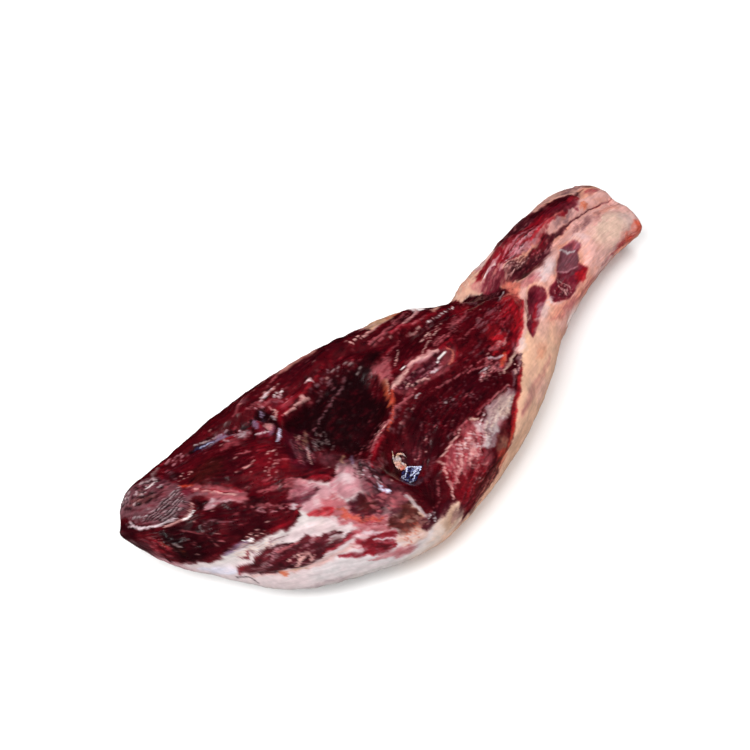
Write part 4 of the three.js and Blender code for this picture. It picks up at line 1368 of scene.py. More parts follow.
THIGH: tuple[Feature, ...] = (
    # the far muscle and the skin strip on the rim
    Wash(Ink.WINE, (-38, 84), (30, 16), -6),
    # small painted glints
    Flecks(Ink.PINK, (-34, 67), (9, 1.4), 0, 6, 91, strength=0.9),
    Fan(Ink.CRIMSON, ((-62, 76), (-58, 88), (-54, 100)), ((-20, 72), (-16, 86), (-12, 98)), 9, 321,
        1.4, strength=0.6),
    Stroke(Ink.PINK, ((-26, 66), (-14, 66), (-4, 68), (6, 70)), (0.8, 1.8, 2, 1.2), lift=0.6),
    Patch(Ink.TAN, ((-16, 70), (-8, 68), (2, 69), (12, 73), (24, 79), (32, 88), (24, 96), (8, 102),
        (-6, 104), (-8, 90), (-12, 80)), 4, lift=0.8),
    Stroke(Ink.RUST, ((6, 73), (16, 77), (26, 79)), 2.4, 0.6, 0),
    Wash(Ink.MAUVE, (-20, 91), (8, 2), lift=0.3),
    # bands between the far muscles
    Stroke(Ink.ROSE, ((-26, 58), (-12, 57), (0, 58), (10, 62), (20, 67), (30, 74)),
        (1.2, 2.2, 2.2, 2.4, 2.2, 1.6), lift=0.9),
    Stroke(Ink.ROSE, ((-20, 54), (-8, 54), (0, 53)), (0.7, 1, 0.6), 0.75),
    Stroke(Ink.BLUSH, ((4, 52), (14, 54), (24, 55), (32, 58), (36, 66), (40, 74)),
        (1.2, 2.4, 2.6, 2.8, 3.4, 3), lift=0.9),
    Patch(Ink.MAROON, ((40, 66), (48, 74), (58, 72), (56, 60), (46, 54), (36, 54), (34, 60)), 5,
        lift=0.3),
    Wash(Ink.LILAC, (38, 60), (5, 9), 40, 0.4),
    # a painted highlight on the far edge
    Wash(Ink.GLINT, (42, 79), (12, 8), 60, 0.95, 0.4),
    Stroke(Ink.CHALK, ((38, 80), (37, 72), (34, 64), (28, 58)), (2.4, 2.2, 1.6, 0.8), 0.75,
        broken=0.1),
    Wash(Ink.LILAC, (44, 60), (3, 9), 40, 0.25),
    Patch(Ink.BUFF, ((41, 50), (45, 55), (49, 58), (53, 57), (56, 52), (50, 49), (44, 48)),
        lift=0.9, rag=0.7),
    Wash(Ink.BROWN, (68, 60), (12, 8), 10),
    Stroke(Ink.DUSK, ((60, 64), (63, 58), (69, 53)), 1.6, 0.75),
    Stroke(Ink.MAUVE, ((62, 64), (68, 65), (75, 64)), 1, 0.7),
    Wash(Ink.CRIMSON, (76, 54), (6, 9), 20, 0.7),
    Stroke(Ink.CRIMSON, ((-6, 54), (6, 52), (16, 49), (30, 47), (44, 46), (62, 44)),
        (1.2, 2.4, 2.4, 2.4, 2, 1.2)),
    Stroke(Ink.ROSE, ((12, 50), (22, 48), (32, 47)), 1.1),
    # painted glint lines
    Stroke(Ink.PINK, ((5, 45), (12, 44.5), (22, 44.5)), 1.2),
    Stroke(Ink.GLINT, ((30, 42.5), (42, 42), (52, 42.5), (62, 43)), (0.49, 0.84, 0.77, 0.42),
        broken=0.15),
    Fan(Ink.ROSE, ((-22, 54), (0, 53), (18, 56), (32, 66)), ((-20, 60), (2, 60), (18, 67),
        (28, 76)), 8, 322),
    Fan(Ink.WINE, ((-20, 52), (4, 52), (22, 56), (36, 68)), ((-20, 62), (2, 62), (20, 70),
        (28, 80)), 7, 323, lift=-0.5),
    # the wide middle muscle
    Wash(Ink.WINE, (4, 34), (34, 15), 4, 0.75),
    Wash(Ink.WINE, (40, 36), (22, 7), 10),
    Stroke(Ink.ROSE, ((-22, 42), (-12, 44), (-2, 46)), 1.6, 0.6),
    Patch(Ink.ROSE, ((-48, 37), (-40, 38), (-30, 37), (-22, 38), (-26, 31), (-32, 24), (-38, 18),
        (-44, 12), (-48, 20), (-45, 30)), 6, lift=0.6, rag=1.6),
    Stroke(Ink.CRIMSON, ((-36, 20), (-28, 21), (-19, 21)), 3.6),
    Stroke(Ink.PINK, ((-27, 24), (-21, 29), (-16, 34), (-11, 39)), (0.4, 0.7, 0.8, 0.4)),
    Fan(Ink.MAUVE, ((6, 34), (10, 38), (14, 43)), ((30, 34), (36, 39), (42, 44)), 12, 324, 0.6,
        (0.4, 0.9), 0.6),
    Fan(Ink.PINK, ((-4, 14), (14, 20), (34, 26)), ((4, 27), (20, 30), (40, 33)), 14, 325, 0.5,
        (0.12, 0.45)),
    Fan(Ink.ROSE, ((30, 18), (48, 21), (70, 28)), ((36, 26), (54, 32), (74, 40)), 20, 326, 0.5),
    Fan(Ink.ROSE, ((-6, 11), (16, 15), (40, 21)), ((0, 6), (20, 10), (50, 18)), 14, 327, 0.6),
    Wash(Ink.BRIGHT, (68, 36), (14, 6), 25, 0.75),
    Wash(Ink.BRIGHT, (70, -4), (16, 7), 6, 0.45),
    # painted glints along the fibres
    Stroke(Ink.PINK, ((5, 25.5), (8, 27.5), (14, 28.5), (22, 29)), (0.7, 1.2, 0.7, 0.4),
        broken=0.2),
    Stroke(Ink.PINK, ((-4, 14), (1, 16), (6, 19), (14, 23), (24, 25), (30, 27)),
        (0.6, 1, 0.7, 0.7, 0.6, 0.4), broken=0.2),
    Stroke(Ink.ROSE, ((22, 33), (24, 36), (27, 40)), 1.3, 0.7),
    Stroke(Ink.ROSE, ((34, 20), (44, 22), (54, 24), (66, 29), (72, 34)), (0.7, 1.3, 1.4, 1.5, 0.8)),
    Stroke(Ink.DUSK, ((36, 19), (50, 20), (64, 22)), 1, 0.7, broken=0.2),
    Stroke(Ink.ROSE, ((30, 4), (38, 4), (48, 7), (60, 9), (80, 10)), (0.6, 1.2, 1.2, 1, 0.8), 0.7,
        broken=0.2),
    Stroke(Ink.ROSE, ((10, 15), (18, 18), (28, 18)), 2.4, 0.7, rag=1, broken=0.2),
    Wash(Ink.CRIMSON, (62, 34), (14, 8), 20, 0.8),
    Wash(Ink.CRIMSON, (78, 30), (12, 6), 30),
    Wash(Ink.BRIGHT, (68, -10), (14, 6), 6, 0.8),
    Stroke(Ink.DUSK, ((56, 1), (66, 0), (78, 2), (90, 4)), (0.6, 0.9, 0.9, 0.6), 0.7, broken=0.3),
    Flecks(Ink.DUSK, (78, 10), (22, 8), 8, 40, 92, stretch=3.4),
    Flecks(Ink.ROSE, (92, 6), (16, 8), 10, 26, 93, (0.5, 1.1), 3.4),
    Flecks(Ink.DUSK, (84, -6), (12, 5), 14, 14, 94, stretch=3),
    # the capsule at its head
    Patch(Ink.ROSE, ((-49, 2), (-44, 7), (-34, 11), (-24, 12), (-18, 18), (-10, 16), (-2, 13),
        (8, 10), (14, 6), (22, 3), (24, -3), (16, -8), (4, -11), (-12, -10), (-24, -9), (-36, -8),
        (-46, -6)), strength=0.5, lift=1),
    Stroke(Ink.PINK, ((-48, 3), (-40, 6), (-32, 9), (-24, 11)), (1.6, 2.8, 2.6, 1.6), 0.95, 0.9),
    Stroke(Ink.BLUSH, ((-22, 14), (-12, 10), (-2, 8), (9, 6)), (1.6, 2.8, 2.6, 1.4), lift=0.7),
    Stroke(Ink.PINK, ((-22, 14), (-12, 11), (-2, 8.5), (9, 6)), (0.8, 1.6, 1.5, 0.8)),
    # a painted glint
    Stroke(Ink.GLINT, ((-28, 16), (-25, 16), (-22, 15)), 0.91, 0.95),
    Patch(Ink.MAROON, ((-46, 0), (-36, 5), (-24, 8), (-12, 6), (0, 5), (10, 4), (12, 1), (4, -2),
        (-8, -3), (-22, -5), (-38, -5)), lift=-1.6),
    Fan(Ink.BLUSH, ((-44, 1), (-24, 5), (6, 4)), ((-40, -5), (-20, -5), (8, -3)), 16, 340,
        length=(0.08, 0.3)),
    Fan(Ink.NIGHT, ((-44, 1), (-24, 5), (6, 4)), ((-40, -5), (-20, -5), (8, -3)), 9, 399,
        length=(0.1, 0.3), lift=-0.4),
    # painted glints on the capsule
    Stroke(Ink.GLINT, ((2, 0.5), (8, 1.5), (15, 2)), 1.4, 0.95, 0.9),
    Stroke(Ink.PEARL, ((-11, -5), (-7, -4), (0, -4)), 1.4, 0.95, 0.7),
    Stroke(Ink.PINK, ((-27, -4), (-20, -5), (-13, -8)), 1.8, lift=0.6),
    Flecks(Ink.PINK, (-33, -2), (7, 2), 0, 7, 95),
    Stroke(Ink.CORAL, ((8, -7), (15, -5), (20, 0), (16, 5)), (1, 1.6, 1.6, 0.9), lift=0.8),
    Stroke(Ink.CRIMSON, ((8, 7), (16, 7), (24, 7)), (1.6, 3.2, 2.4), 0.95, 0),
    Stroke(Ink.CRIMSON, ((24, 5), (25, -1), (20, -6), (10, -8)), (1.6, 2.4, 2, 1), lift=0),
    Stroke(Ink.ROSE, ((-60, -12), (-50, -12), (-42, -10), (-34, -9)), (1.5, 2.6, 2.4, 1.2),
        lift=0.6, rag=1.2, broken=0.15),
    Stroke(Ink.STONE, ((-38, -14), (-32, -13))),
    # the dark muscle below it
    Patch(Ink.WINE, ((-60, -24), (-40, -20), (-10, -20), (20, -22), (40, -28), (36, -48), (26, -54),
        (0, -56), (-30, -62), (-58, -68), (-66, -44)), 12, 0.75),
    Wash(Ink.MAROON, (10, -38), (26, 12), 8, 0.4),
    Stroke(Ink.ROSE, ((-18, -19), (-6, -18), (4, -19), (20, -19), (42, -19)),
        (0.7, 1.2, 1, 0.9, 0.6), broken=0.1),
    Stroke(Ink.ROSE, ((18, -21), (28, -23), (36, -25), (42, -27)), (0.7, 1.3, 1.3, 0.7)),
    Stroke(Ink.DUSK, ((28, -14), (38, -14), (48, -13)), 1.3, 0.6, broken=0.3),
    Stroke(Ink.DUSK, ((32, -10), (42, -9), (54, -5)), 1.8, 0.6, broken=0.25),
    Stroke(Ink.ROSE, ((20, -38), (24, -34), (30, -30)), 2.4, lift=0.6),
    Flecks(Ink.ROSE, (34, -34), (9, 6), 10, 20, 96, (0.8, 2), strength=0.85, lift=0.6),
    Flecks(Ink.ROSE, (44, -26), (6, 7), 60, 18, 97, (0.8, 1.9), strength=0.85, lift=0.6),
    Stroke(Ink.ROSE, ((46, -28), (42, -34), (44, -40), (50, -40)), (1.4, 2.8, 3.2, 1.6), 0.75, 0.6,
        rag=1.2),
    Stroke(Ink.BRIGHT, ((47, -37), (54, -33), (62, -28), (70, -25)), (1.6, 3.6, 3.2, 1.4), 0.95),
    Stroke(Ink.CORAL, ((50, -34), (56, -32), (63, -28)), 2.2),
    Stroke(Ink.ROSE, ((52, -17), (62, -17), (74, -15)), 4.2, lift=0.6),
    Fan(Ink.BRIGHT, ((48, -14), (60, -12), (76, -8)), ((52, -24), (64, -23), (80, -19)), 12, 320),
    Wash(Ink.PINK, (66, -16), (7, 2.4), 6, lift=0.3),
    Stroke(Ink.CRIMSON, ((70, -26), (82, -20), (94, -11), (106, -3), (116, 5)), (2, 4, 4, 4, 2),
        lift=0.2),
    Flecks(Ink.STONE, (-15, -34), (7, 4), -10, 9, 98),
    Flecks(Ink.ROSE, (0, -43), (6, 3), -10, 8, 90),
    Flecks(Ink.DUSK, (-18, -36), (24, 8), 4, 34, 99, (0.5, 1.1), strength=0.5),
    Flecks(Ink.DUSK, (12, -46), (24, 5), 4, 26, 100, (0.5, 1), strength=0.6, lift=0.2),
    Fan(Ink.DUSK, ((-62, -54), (-52, -38), (-42, -22)), ((2, -56), (10, -40), (18, -24)), 30, 328,
        0.55, (0.08, 0.22)),
    Fan(Ink.CRIMSON, ((-64, -58), (-52, -40), (-42, -22)), ((-4, -56), (8, -40), (18, -24)), 16,
        329, length=(0.15, 0.4), strength=0.5),
    Fan(Ink.PINK, ((17, -38), (25, -32), (33, -26)), ((44, -47), (52, -40), (58, -31)), 18, 331,
        0.75),
    Fan(Ink.WINE, ((17, -36), (25, -30), (33, -24)), ((46, -46), (54, -38), (60, -30)), 12, 332,
        lift=-0.5),
    Stroke(Ink.DUSK, ((-60, -66), (-48, -62), (-38, -60)), 1, 0.6, broken=0.3),
    # the band between lean and skin
    Stroke(Ink.CREAM, ((44, -43), (52, -39), (62, -35), (72, -31), (80, -27)), (1, 2, 2.2, 2.4, 2),
        lift=0.7),
    Stroke(Ink.WINE, ((46, -47), (56, -42), (66, -37), (76, -33)), (1, 2.2, 2.2, 1), lift=-0.5),
    Stroke(Ink.MAUVE, ((38, -56), (48, -51), (58, -46), (68, -41), (77, -35)),
        (1.4, 2.8, 3.2, 3.2, 1.6), rag=1),
    Flecks(Ink.PINK, (62, -43), (14, 3), 27, 20, 101, strength=0.85),
    Stroke(Ink.RUST, ((0, -97), (8, -90), (15, -84), (22, -78)), (2.4, 3.4, 2.4, 1.2), lift=0),
    Stroke(Ink.BRIGHT, ((14, -85), (24, -77), (34, -67), (44, -60), (54, -54), (66, -47)),
        (1, 1.8, 2, 1.8, 1.6, 0.8), lift=0),
    Stroke(Ink.WINE, ((6, -84), (16, -79), (26, -71), (36, -62), (44, -57)), (1.6, 3, 3, 2.2, 1),
        lift=-0.5),
)

MEMBRANE: tuple[Feature, ...] = (
    # the streaky membrane on the near muscle
    Patch(Ink.CRIMSON, ((-62, -71), (-40, -67), (-18, -62), (-8, -66), (-20, -84), (-34, -94),
        (-26, -108), (-44, -122), (-66, -128), (-68, -106), (-66, -88)), 5, 0.75, 0.4),
    Patch(Ink.ROSE, ((-56, -72), (-40, -67), (-24, -64), (-14, -70), (-22, -82), (-26, -92),
        (-40, -94), (-54, -90), (-60, -80)), 6, 0.55, 0.5, rag=2),
    Fan(Ink.CRIMSON, ((-68, -104), (-54, -86), (-42, -68)), ((-26, -92), (-16, -78), (-8, -66)), 34,
        333, strength=0.8, lift=-0.4),
    Fan(Ink.PINK, ((-68, -102), (-54, -84), (-42, -68)), ((-24, -90), (-14, -77), (-6, -64)), 44,
        334, 0.75, (0.12, 0.4)),
    Fan(Ink.WINE, ((-68, -104), (-54, -86), (-42, -68)), ((-26, -92), (-16, -78), (-8, -66)), 14,
        335, length=(0.1, 0.3), lift=-0.5),
    Flecks(Ink.PINK, (-40, -80), (20, 10), 20, 30, 111, stretch=3, strength=0.6),
    Fan(Ink.BRIGHT, ((-68, -110), (-50, -96), (-32, -86)), ((-44, -122), (-22, -108), (-4, -96)),
        14, 336, 1.1, strength=0.6, lift=-0.2),
    Stroke(Ink.PINK, ((-63, -70), (-52, -69), (-42, -66), (-32, -63)), (0.7, 1.2, 1.2, 0.8),
        lift=0.8),
    Stroke(Ink.ROSE, ((-40, -62), (-30, -62), (-20, -61)), 1.2),
    Stroke(Ink.PINK, ((-60, -70), (-62, -78), (-65, -88), (-67, -98), (-71, -107)),
        (0.8, 1.3, 1.1, 1.5, 1.2), lift=0.7),
    Fan(Ink.PINK, ((-66, -82), (-66, -92), (-70, -104)), ((-54, -84), (-58, -94), (-64, -104)), 6,
        402, strength=0.4),
    Wash(Ink.ROSE, (-26, -94), (8, 7), 20, lift=0.2),
    Wash(Ink.RUST, (-8, -100), (15, 8), 36, 0.7),
    Wash(Ink.BROWN, (-30, -112), (26, 8), 24, 0.5),
    Fan(Ink.ROSE, ((-70, -116), (-46, -104), (-24, -94)), ((-58, -134), (-30, -124), (0, -106)), 22,
        337, length=(0.15, 0.45), strength=0.6),
    Fan(Ink.BROWN, ((-70, -120), (-46, -110), (-16, -98)), ((-58, -140), (-30, -130), (6, -108)),
        16, 338, 1.4, lift=-0.2),
    Fan(Ink.SALMON, ((-60, -128), (-40, -120), (-14, -104)), ((-50, -142), (-26, -132), (10, -108)),
        14, 339, 1.2, strength=0.6),
    Wash(Ink.TAN, (-6, -90), (12, 6), 30, lift=0.2),
    Wash(Ink.SALMON, (0, -100), (8, 5), 40, 0.35),
    Wash(Ink.TAN, (-80, -122), (18, 12), 10, 0.8),
    Wash(Ink.DUSK, (-74, -122), (9, 9), strength=0.5),
    Wash(Ink.RUST, (-6, -110), (12, 7), 20, 0.5),
    Wash(Ink.DUSK, (-60, -136), (22, 6), 5, 0.5),
    # its whitish half
    Patch(Ink.STONE, ((-24, -84), (-14, -76), (-8, -68), (4, -62), (20, -60), (34, -58), (36, -61),
        (24, -70), (10, -77), (-4, -82), (-16, -89)), lift=0.9),
    Patch(Ink.CREAM, ((10, -72), (20, -69), (30, -63), (33, -61), (24, -70), (14, -75)),
        strength=0.75, lift=0.4),
    Patch(Ink.MAUVE, ((0, -62), (12, -60), (26, -58), (30, -61), (20, -65), (8, -68), (-2, -68)),
        strength=0.7),
    Fan(Ink.MAUVE, ((-24, -86), (-12, -74), (-2, -62)), ((10, -77), (22, -69), (34, -61)), 14, 340,
        lift=-0.4),
    Fan(Ink.CREAM, ((-24, -86), (-12, -74), (-2, -62)), ((10, -77), (22, -69), (34, -61)), 14, 341,
        0.7),
    Wash(Ink.CHALK, (-16, -71), (6, 7), 50, 0.75, 0.4),
    Wash(Ink.CHALK, (6, -61), (9, 2.6), 4, lift=0.3),
    Stroke(Ink.DUSK, ((-22, -90), (-10, -84), (4, -80)), 2.2, 0.7, -0.3, rag=1),
    Stroke(Ink.ROSE, ((-9, -60), (0, -58), (12, -57), (24, -56), (35, -55)),
        (1, 1.3, 1.2, 1.1, 0.7), lift=0.8),
    # a painted glint
    Stroke(Ink.GLINT, ((-14, -69), (-8, -65), (-3, -62)), 1.12, lift=0.6),
    Wash(Ink.CREAM, (-14, -63), (5, 4), -10, 0.95, 1),
)

KNEE: tuple[Feature, ...] = (
    # the bright end of the middle muscle and the fat round it
    Patch(Ink.BRIGHT, ((94, 4), (98, 16), (106, 18), (114, 18), (121, 17), (121, 9), (112, 2),
        (104, -4), (96, -4)), 8),
    Wash(Ink.CRIMSON, (92, 2), (34, 14), 12, 0.75),
    Wash(Ink.BRIGHT, (96, -6), (18, 6), 34),
    Fan(Ink.ROSE, ((66, -8), (84, -8), (104, 0)), ((66, 12), (84, 14), (106, 18)), 22, 351, 0.55,
        (0.15, 0.4)),
    Fan(Ink.WINE, ((66, -8), (84, -8), (104, 0)), ((66, 12), (84, 14), (106, 16)), 9, 352,
        strength=0.6, lift=-0.4),
    Fan(Ink.BRIGHT, ((84, 0), (100, 4), (118, 12)), ((84, 14), (100, 18), (119, 19)), 9, 353, 1.1,
        strength=0.6, lift=-0.2),
    Stroke(Ink.ROSE, ((99, 13), (106, 14), (113, 17)), 1.3, 0.7),
    Patch(Ink.CORAL, ((98, 17), (106, 20), (114, 25), (120, 30), (121, 38), (128, 42), (136, 42),
        (142, 36), (140, 28), (134, 22), (126, 17), (121, 12), (120, 18), (110, 19)), lift=0.9),
    Patch(Ink.PINK, ((76, -34), (90, -24), (100, -17), (110, -8), (119, -1), (127, 8), (133, 16),
        (140, 20), (150, 20), (162, 14), (176, 20), (190, 31), (200, 40), (206, 48), (196, 50),
        (182, 46), (168, 38), (158, 36), (150, 32), (140, 30), (132, 24), (124, 17), (113, 4),
        (104, -6), (93, -15), (82, -24), (74, -29)), strength=0.8, lift=0.7),
    Wash(Ink.CHALK, (164, 23), (20, 8), 20, 0.75, 0.4),
    Stroke(Ink.BRIGHT, ((80, -26), (90, -18), (101, -9), (112, 1), (121, 11)), (1.6, 3, 3.2, 3, 2),
        lift=0.2),
    Wash(Ink.CHALK, (84, -28), (10, 5), 40, lift=0.4),
    Wash(Ink.CHALK, (176, 27), (14, 7), 25, 0.5, 0.3),
    Wash(Ink.MAUVE, (180, 39), (24, 6), 25),
    Fan(Ink.DUSK, ((152, 20), (168, 28), (186, 40)), ((160, 38), (176, 42), (196, 50)), 12, 354,
        strength=0.4),
    Wash(Ink.ROSE, (146, 25), (16, 7)),
    Patch(Ink.BROWN, ((142, 43), (160, 42), (178, 41), (174, 34), (162, 31), (148, 34)), 6, 0.7,
        -0.4),
    # painted shade in the end of the slit
    Wash(Ink.NIGHT, (152, 37), (12, 4), -5, lift=-0.6),
    # the dark muscle in the crook of the knee
    Patch(Ink.WINE, ((78, 44), (83, 56), (88, 60), (97, 54), (108, 47), (116, 46), (122, 42),
        (120, 34), (114, 27), (104, 22), (97, 19), (88, 24), (82, 34)), 4, lift=0.2),
    Wash(Ink.BROWN, (98, 38), (14, 10), -30, 0.5),
    Fan(Ink.DUSK, ((80, 40), (87, 48), (94, 57)), ((100, 22), (110, 33), (118, 43)), 12, 355, 0.7,
        (0.3, 0.8), 0.55),
    Fan(Ink.NIGHT, ((80, 40), (87, 48), (94, 57)), ((100, 22), (110, 33), (118, 43)), 10, 356,
        length=(0.3, 0.8), lift=-0.5),
    Flecks(Ink.DUSK, (106, 34), (10, 5), 30, 12, 121, strength=0.6),
    Stroke(Ink.STONE, ((97, 18), (104, 22), (112, 27), (116, 30)), (0.7, 1.2, 1.2, 0.6)),
    Stroke(Ink.MAUVE, ((76, 44), (82, 40), (88, 38), (84, 34)), (1, 2.2, 1.6, 1), 0.6),
    Stroke(Ink.ROSE, ((74, 42), (80, 46), (83, 54)), 2, 0.55),
    # skin and fat on the far side of the knee
    Patch(Ink.BUFF, ((79, 70), (86, 62), (98, 53), (106, 49), (112, 52), (114, 58), (112, 66),
        (118, 74), (130, 82), (134, 96), (100, 98), (78, 88)), lift=0.6),
    Fan(Ink.CREAM, ((84, 66), (90, 76), (96, 88)), ((112, 60), (120, 74), (128, 88)), 12, 357, 1.2,
        (0.4, 0.9), 0.6),
    Fan(Ink.SALMON, ((84, 64), (92, 74), (98, 86)), ((112, 58), (122, 74), (130, 90)), 12, 358, 1.2,
        (0.4, 0.9), 0.6, 0.2),
    Stroke(Ink.CREAM, ((84, 63), (94, 56), (102, 51), (108, 48)), (0.6, 1, 1, 0.6), lift=0.6),
    Patch(Ink.PEARL, ((122, 74), (134, 73), (148, 73), (154, 78), (156, 92), (136, 96), (124, 86)),
        7, 0.6, 0.4),
    Patch(Ink.CRIMSON, ((106, 59), (112, 65), (120, 69), (130, 71), (145, 71), (152, 69), (150, 64),
        (140, 61), (128, 60), (116, 59))),
    Stroke(Ink.CRIMSON, ((112, 61), (124, 66), (138, 70), (152, 72)), (1.5, 3.4, 3.4, 2), lift=0),
    Stroke(Ink.BLUSH, ((113, 57), (122, 58), (132, 60), (140, 63), (147, 64)),
        (0.8, 2.4, 2.2, 1.6, 0.8), lift=1),
    # a painted highlight along the band
    Stroke(Ink.GLINT, ((116, 58), (124, 57), (132, 57.5), (138, 60), (146, 64)),
        (1, 2.2, 2, 1.2, 0.7), 0.95),
    Patch(Ink.PLUM, ((106, 50), (112, 56), (122, 57), (131, 57), (136, 50), (133, 44), (124, 41),
        (114, 42)), lift=-0.2),
    Wash(Ink.MAROON, (122, 46), (9, 5)),
    Fan(Ink.ROSE, ((108, 50), (120, 54), (132, 56)), ((112, 44), (122, 47), (134, 48)), 6, 359,
        strength=0.6),
    Stroke(Ink.BLUSH, ((132, 51), (140, 54), (148, 58), (158, 60)), (1.6, 3.4, 3.4, 1.6), lift=0.8),
    Stroke(Ink.CRIMSON, ((131, 55), (140, 60), (150, 66)), 2, lift=-0.5),
    Wash(Ink.ROSE, (125, 76), (8, 4)),
    Stroke(Ink.CRIMSON, ((146, 52), (154, 53), (162, 53)), 1.8, lift=0),
    # the two pits
    Patch(Ink.PLUM, ((98, -24), (102, -15), (110, -9), (119, -2), (127, 7), (133, 14), (140, 18),
        (147, 17), (151, 11), (148, 3), (140, -3), (130, -9), (120, -15), (112, -20), (104, -25),
        (99, -27)), 2, 0.98, -2.4, 6, 0.3, 0.2),
    Stroke(Ink.BRIGHT, ((103, -21), (114, -15), (124, -7), (136, 2)), (1.6, 3, 3, 1.6), 0.6, 0),
    Wash(Ink.MAROON, (136, 9), (10, 6), 36),
    Stroke(Ink.MAROON, ((102, -16), (112, -7), (122, 1), (130, 10)), (0.8, 1.6, 1.6, 0.8), 0.6,
        -0.4),
    Stroke(Ink.PINK, ((109, -10), (115, -7), (121, -4)), 1.6, lift=0.8),
    Patch(Ink.PLUM, ((147, -4), (150, 3), (158, 9), (170, 12), (178, 19), (188, 27), (197, 33),
        (206, 34), (214, 33), (218, 28), (216, 24), (209, 21), (206, 15), (208, 9), (208, 4),
        (200, 0), (188, -2), (180, -8), (166, -12), (154, -10), (148, -8)), strength=0.98, lift=-2,
        rounding=7, rag=0.4, feather=0.2),
    Wash(Ink.MAROON, (166, 0), (15, 9), 10, 0.7),
    Wash(Ink.MAROON, (196, 22), (10, 11), 40, 0.5),
    Fan(Ink.DUSK, ((168, 8), (184, 12), (202, 14)), ((180, 18), (192, 26), (204, 30)), 9, 360, 1.2,
        strength=0.45),
    Fan(Ink.CRIMSON, ((152, -6), (164, 0), (184, 4)), ((158, 6), (176, 8), (204, 10)), 9, 361,
        strength=0.6, lift=-0.3),
    Fan(Ink.PINK, ((158, 4), (160, -2), (166, -9)), ((174, 8), (176, 0), (176, -7)), 9, 362,
        lift=0.6),
    Flecks(Ink.ROSE, (167, -2), (13, 8), 0, 18, 123, (0.7, 1.8), 1.3),
    Stroke(Ink.DUSK, ((168, 8), (180, 8), (192, 8), (197, 6)), (2, 3.4, 3, 1.2), 0.7, 0.6, rag=1.2),
    Stroke(Ink.CRIMSON, ((184, -4), (192, -1), (200, 2), (206, 6)), (1.4, 3, 3.2, 2), 0.95),
    # the veil over the upper half of the second pit, and the red beside it
    Patch(Ink.MAUVE, ((180, 17), (188, 26), (200, 33), (212, 26), (206, 17), (200, 9), (190, 12)),
        4, 0.62, 0.3, feather=0.4),
    Stroke(Ink.BLUSH, ((177, 19), (185, 15), (194, 12), (203, 11)), (1, 1.5, 1.5, 1), 0.8),
    Stroke(Ink.STONE, ((196, 33), (200, 30), (205, 27), (210, 25)), (1, 1.6, 1.6, 1), 0.9, 0.6),
    Wash(Ink.BRIGHT, (199, 1), (12, 5), 24, 0.9),
    Wash(Ink.BRIGHT, (212, 31), (4, 5), strength=0.7),
    Stroke(Ink.PINK, ((169, 11), (173, 6), (176, 0), (177, -5)), 1.3, 0.75),
    Stroke(Ink.PINK, ((168, 10), (167, 5), (167, 0), (168, -7)), 1.2, 0.7),
    Stroke(Ink.PINK, ((144, -4), (146, -8), (152, -10), (160, -12)), (1.4, 2.4, 1.6, 1), lift=0.8),
    Wash(Ink.PEARL, (146, -3), (4, 4), strength=0.7, lift=0.6),
)

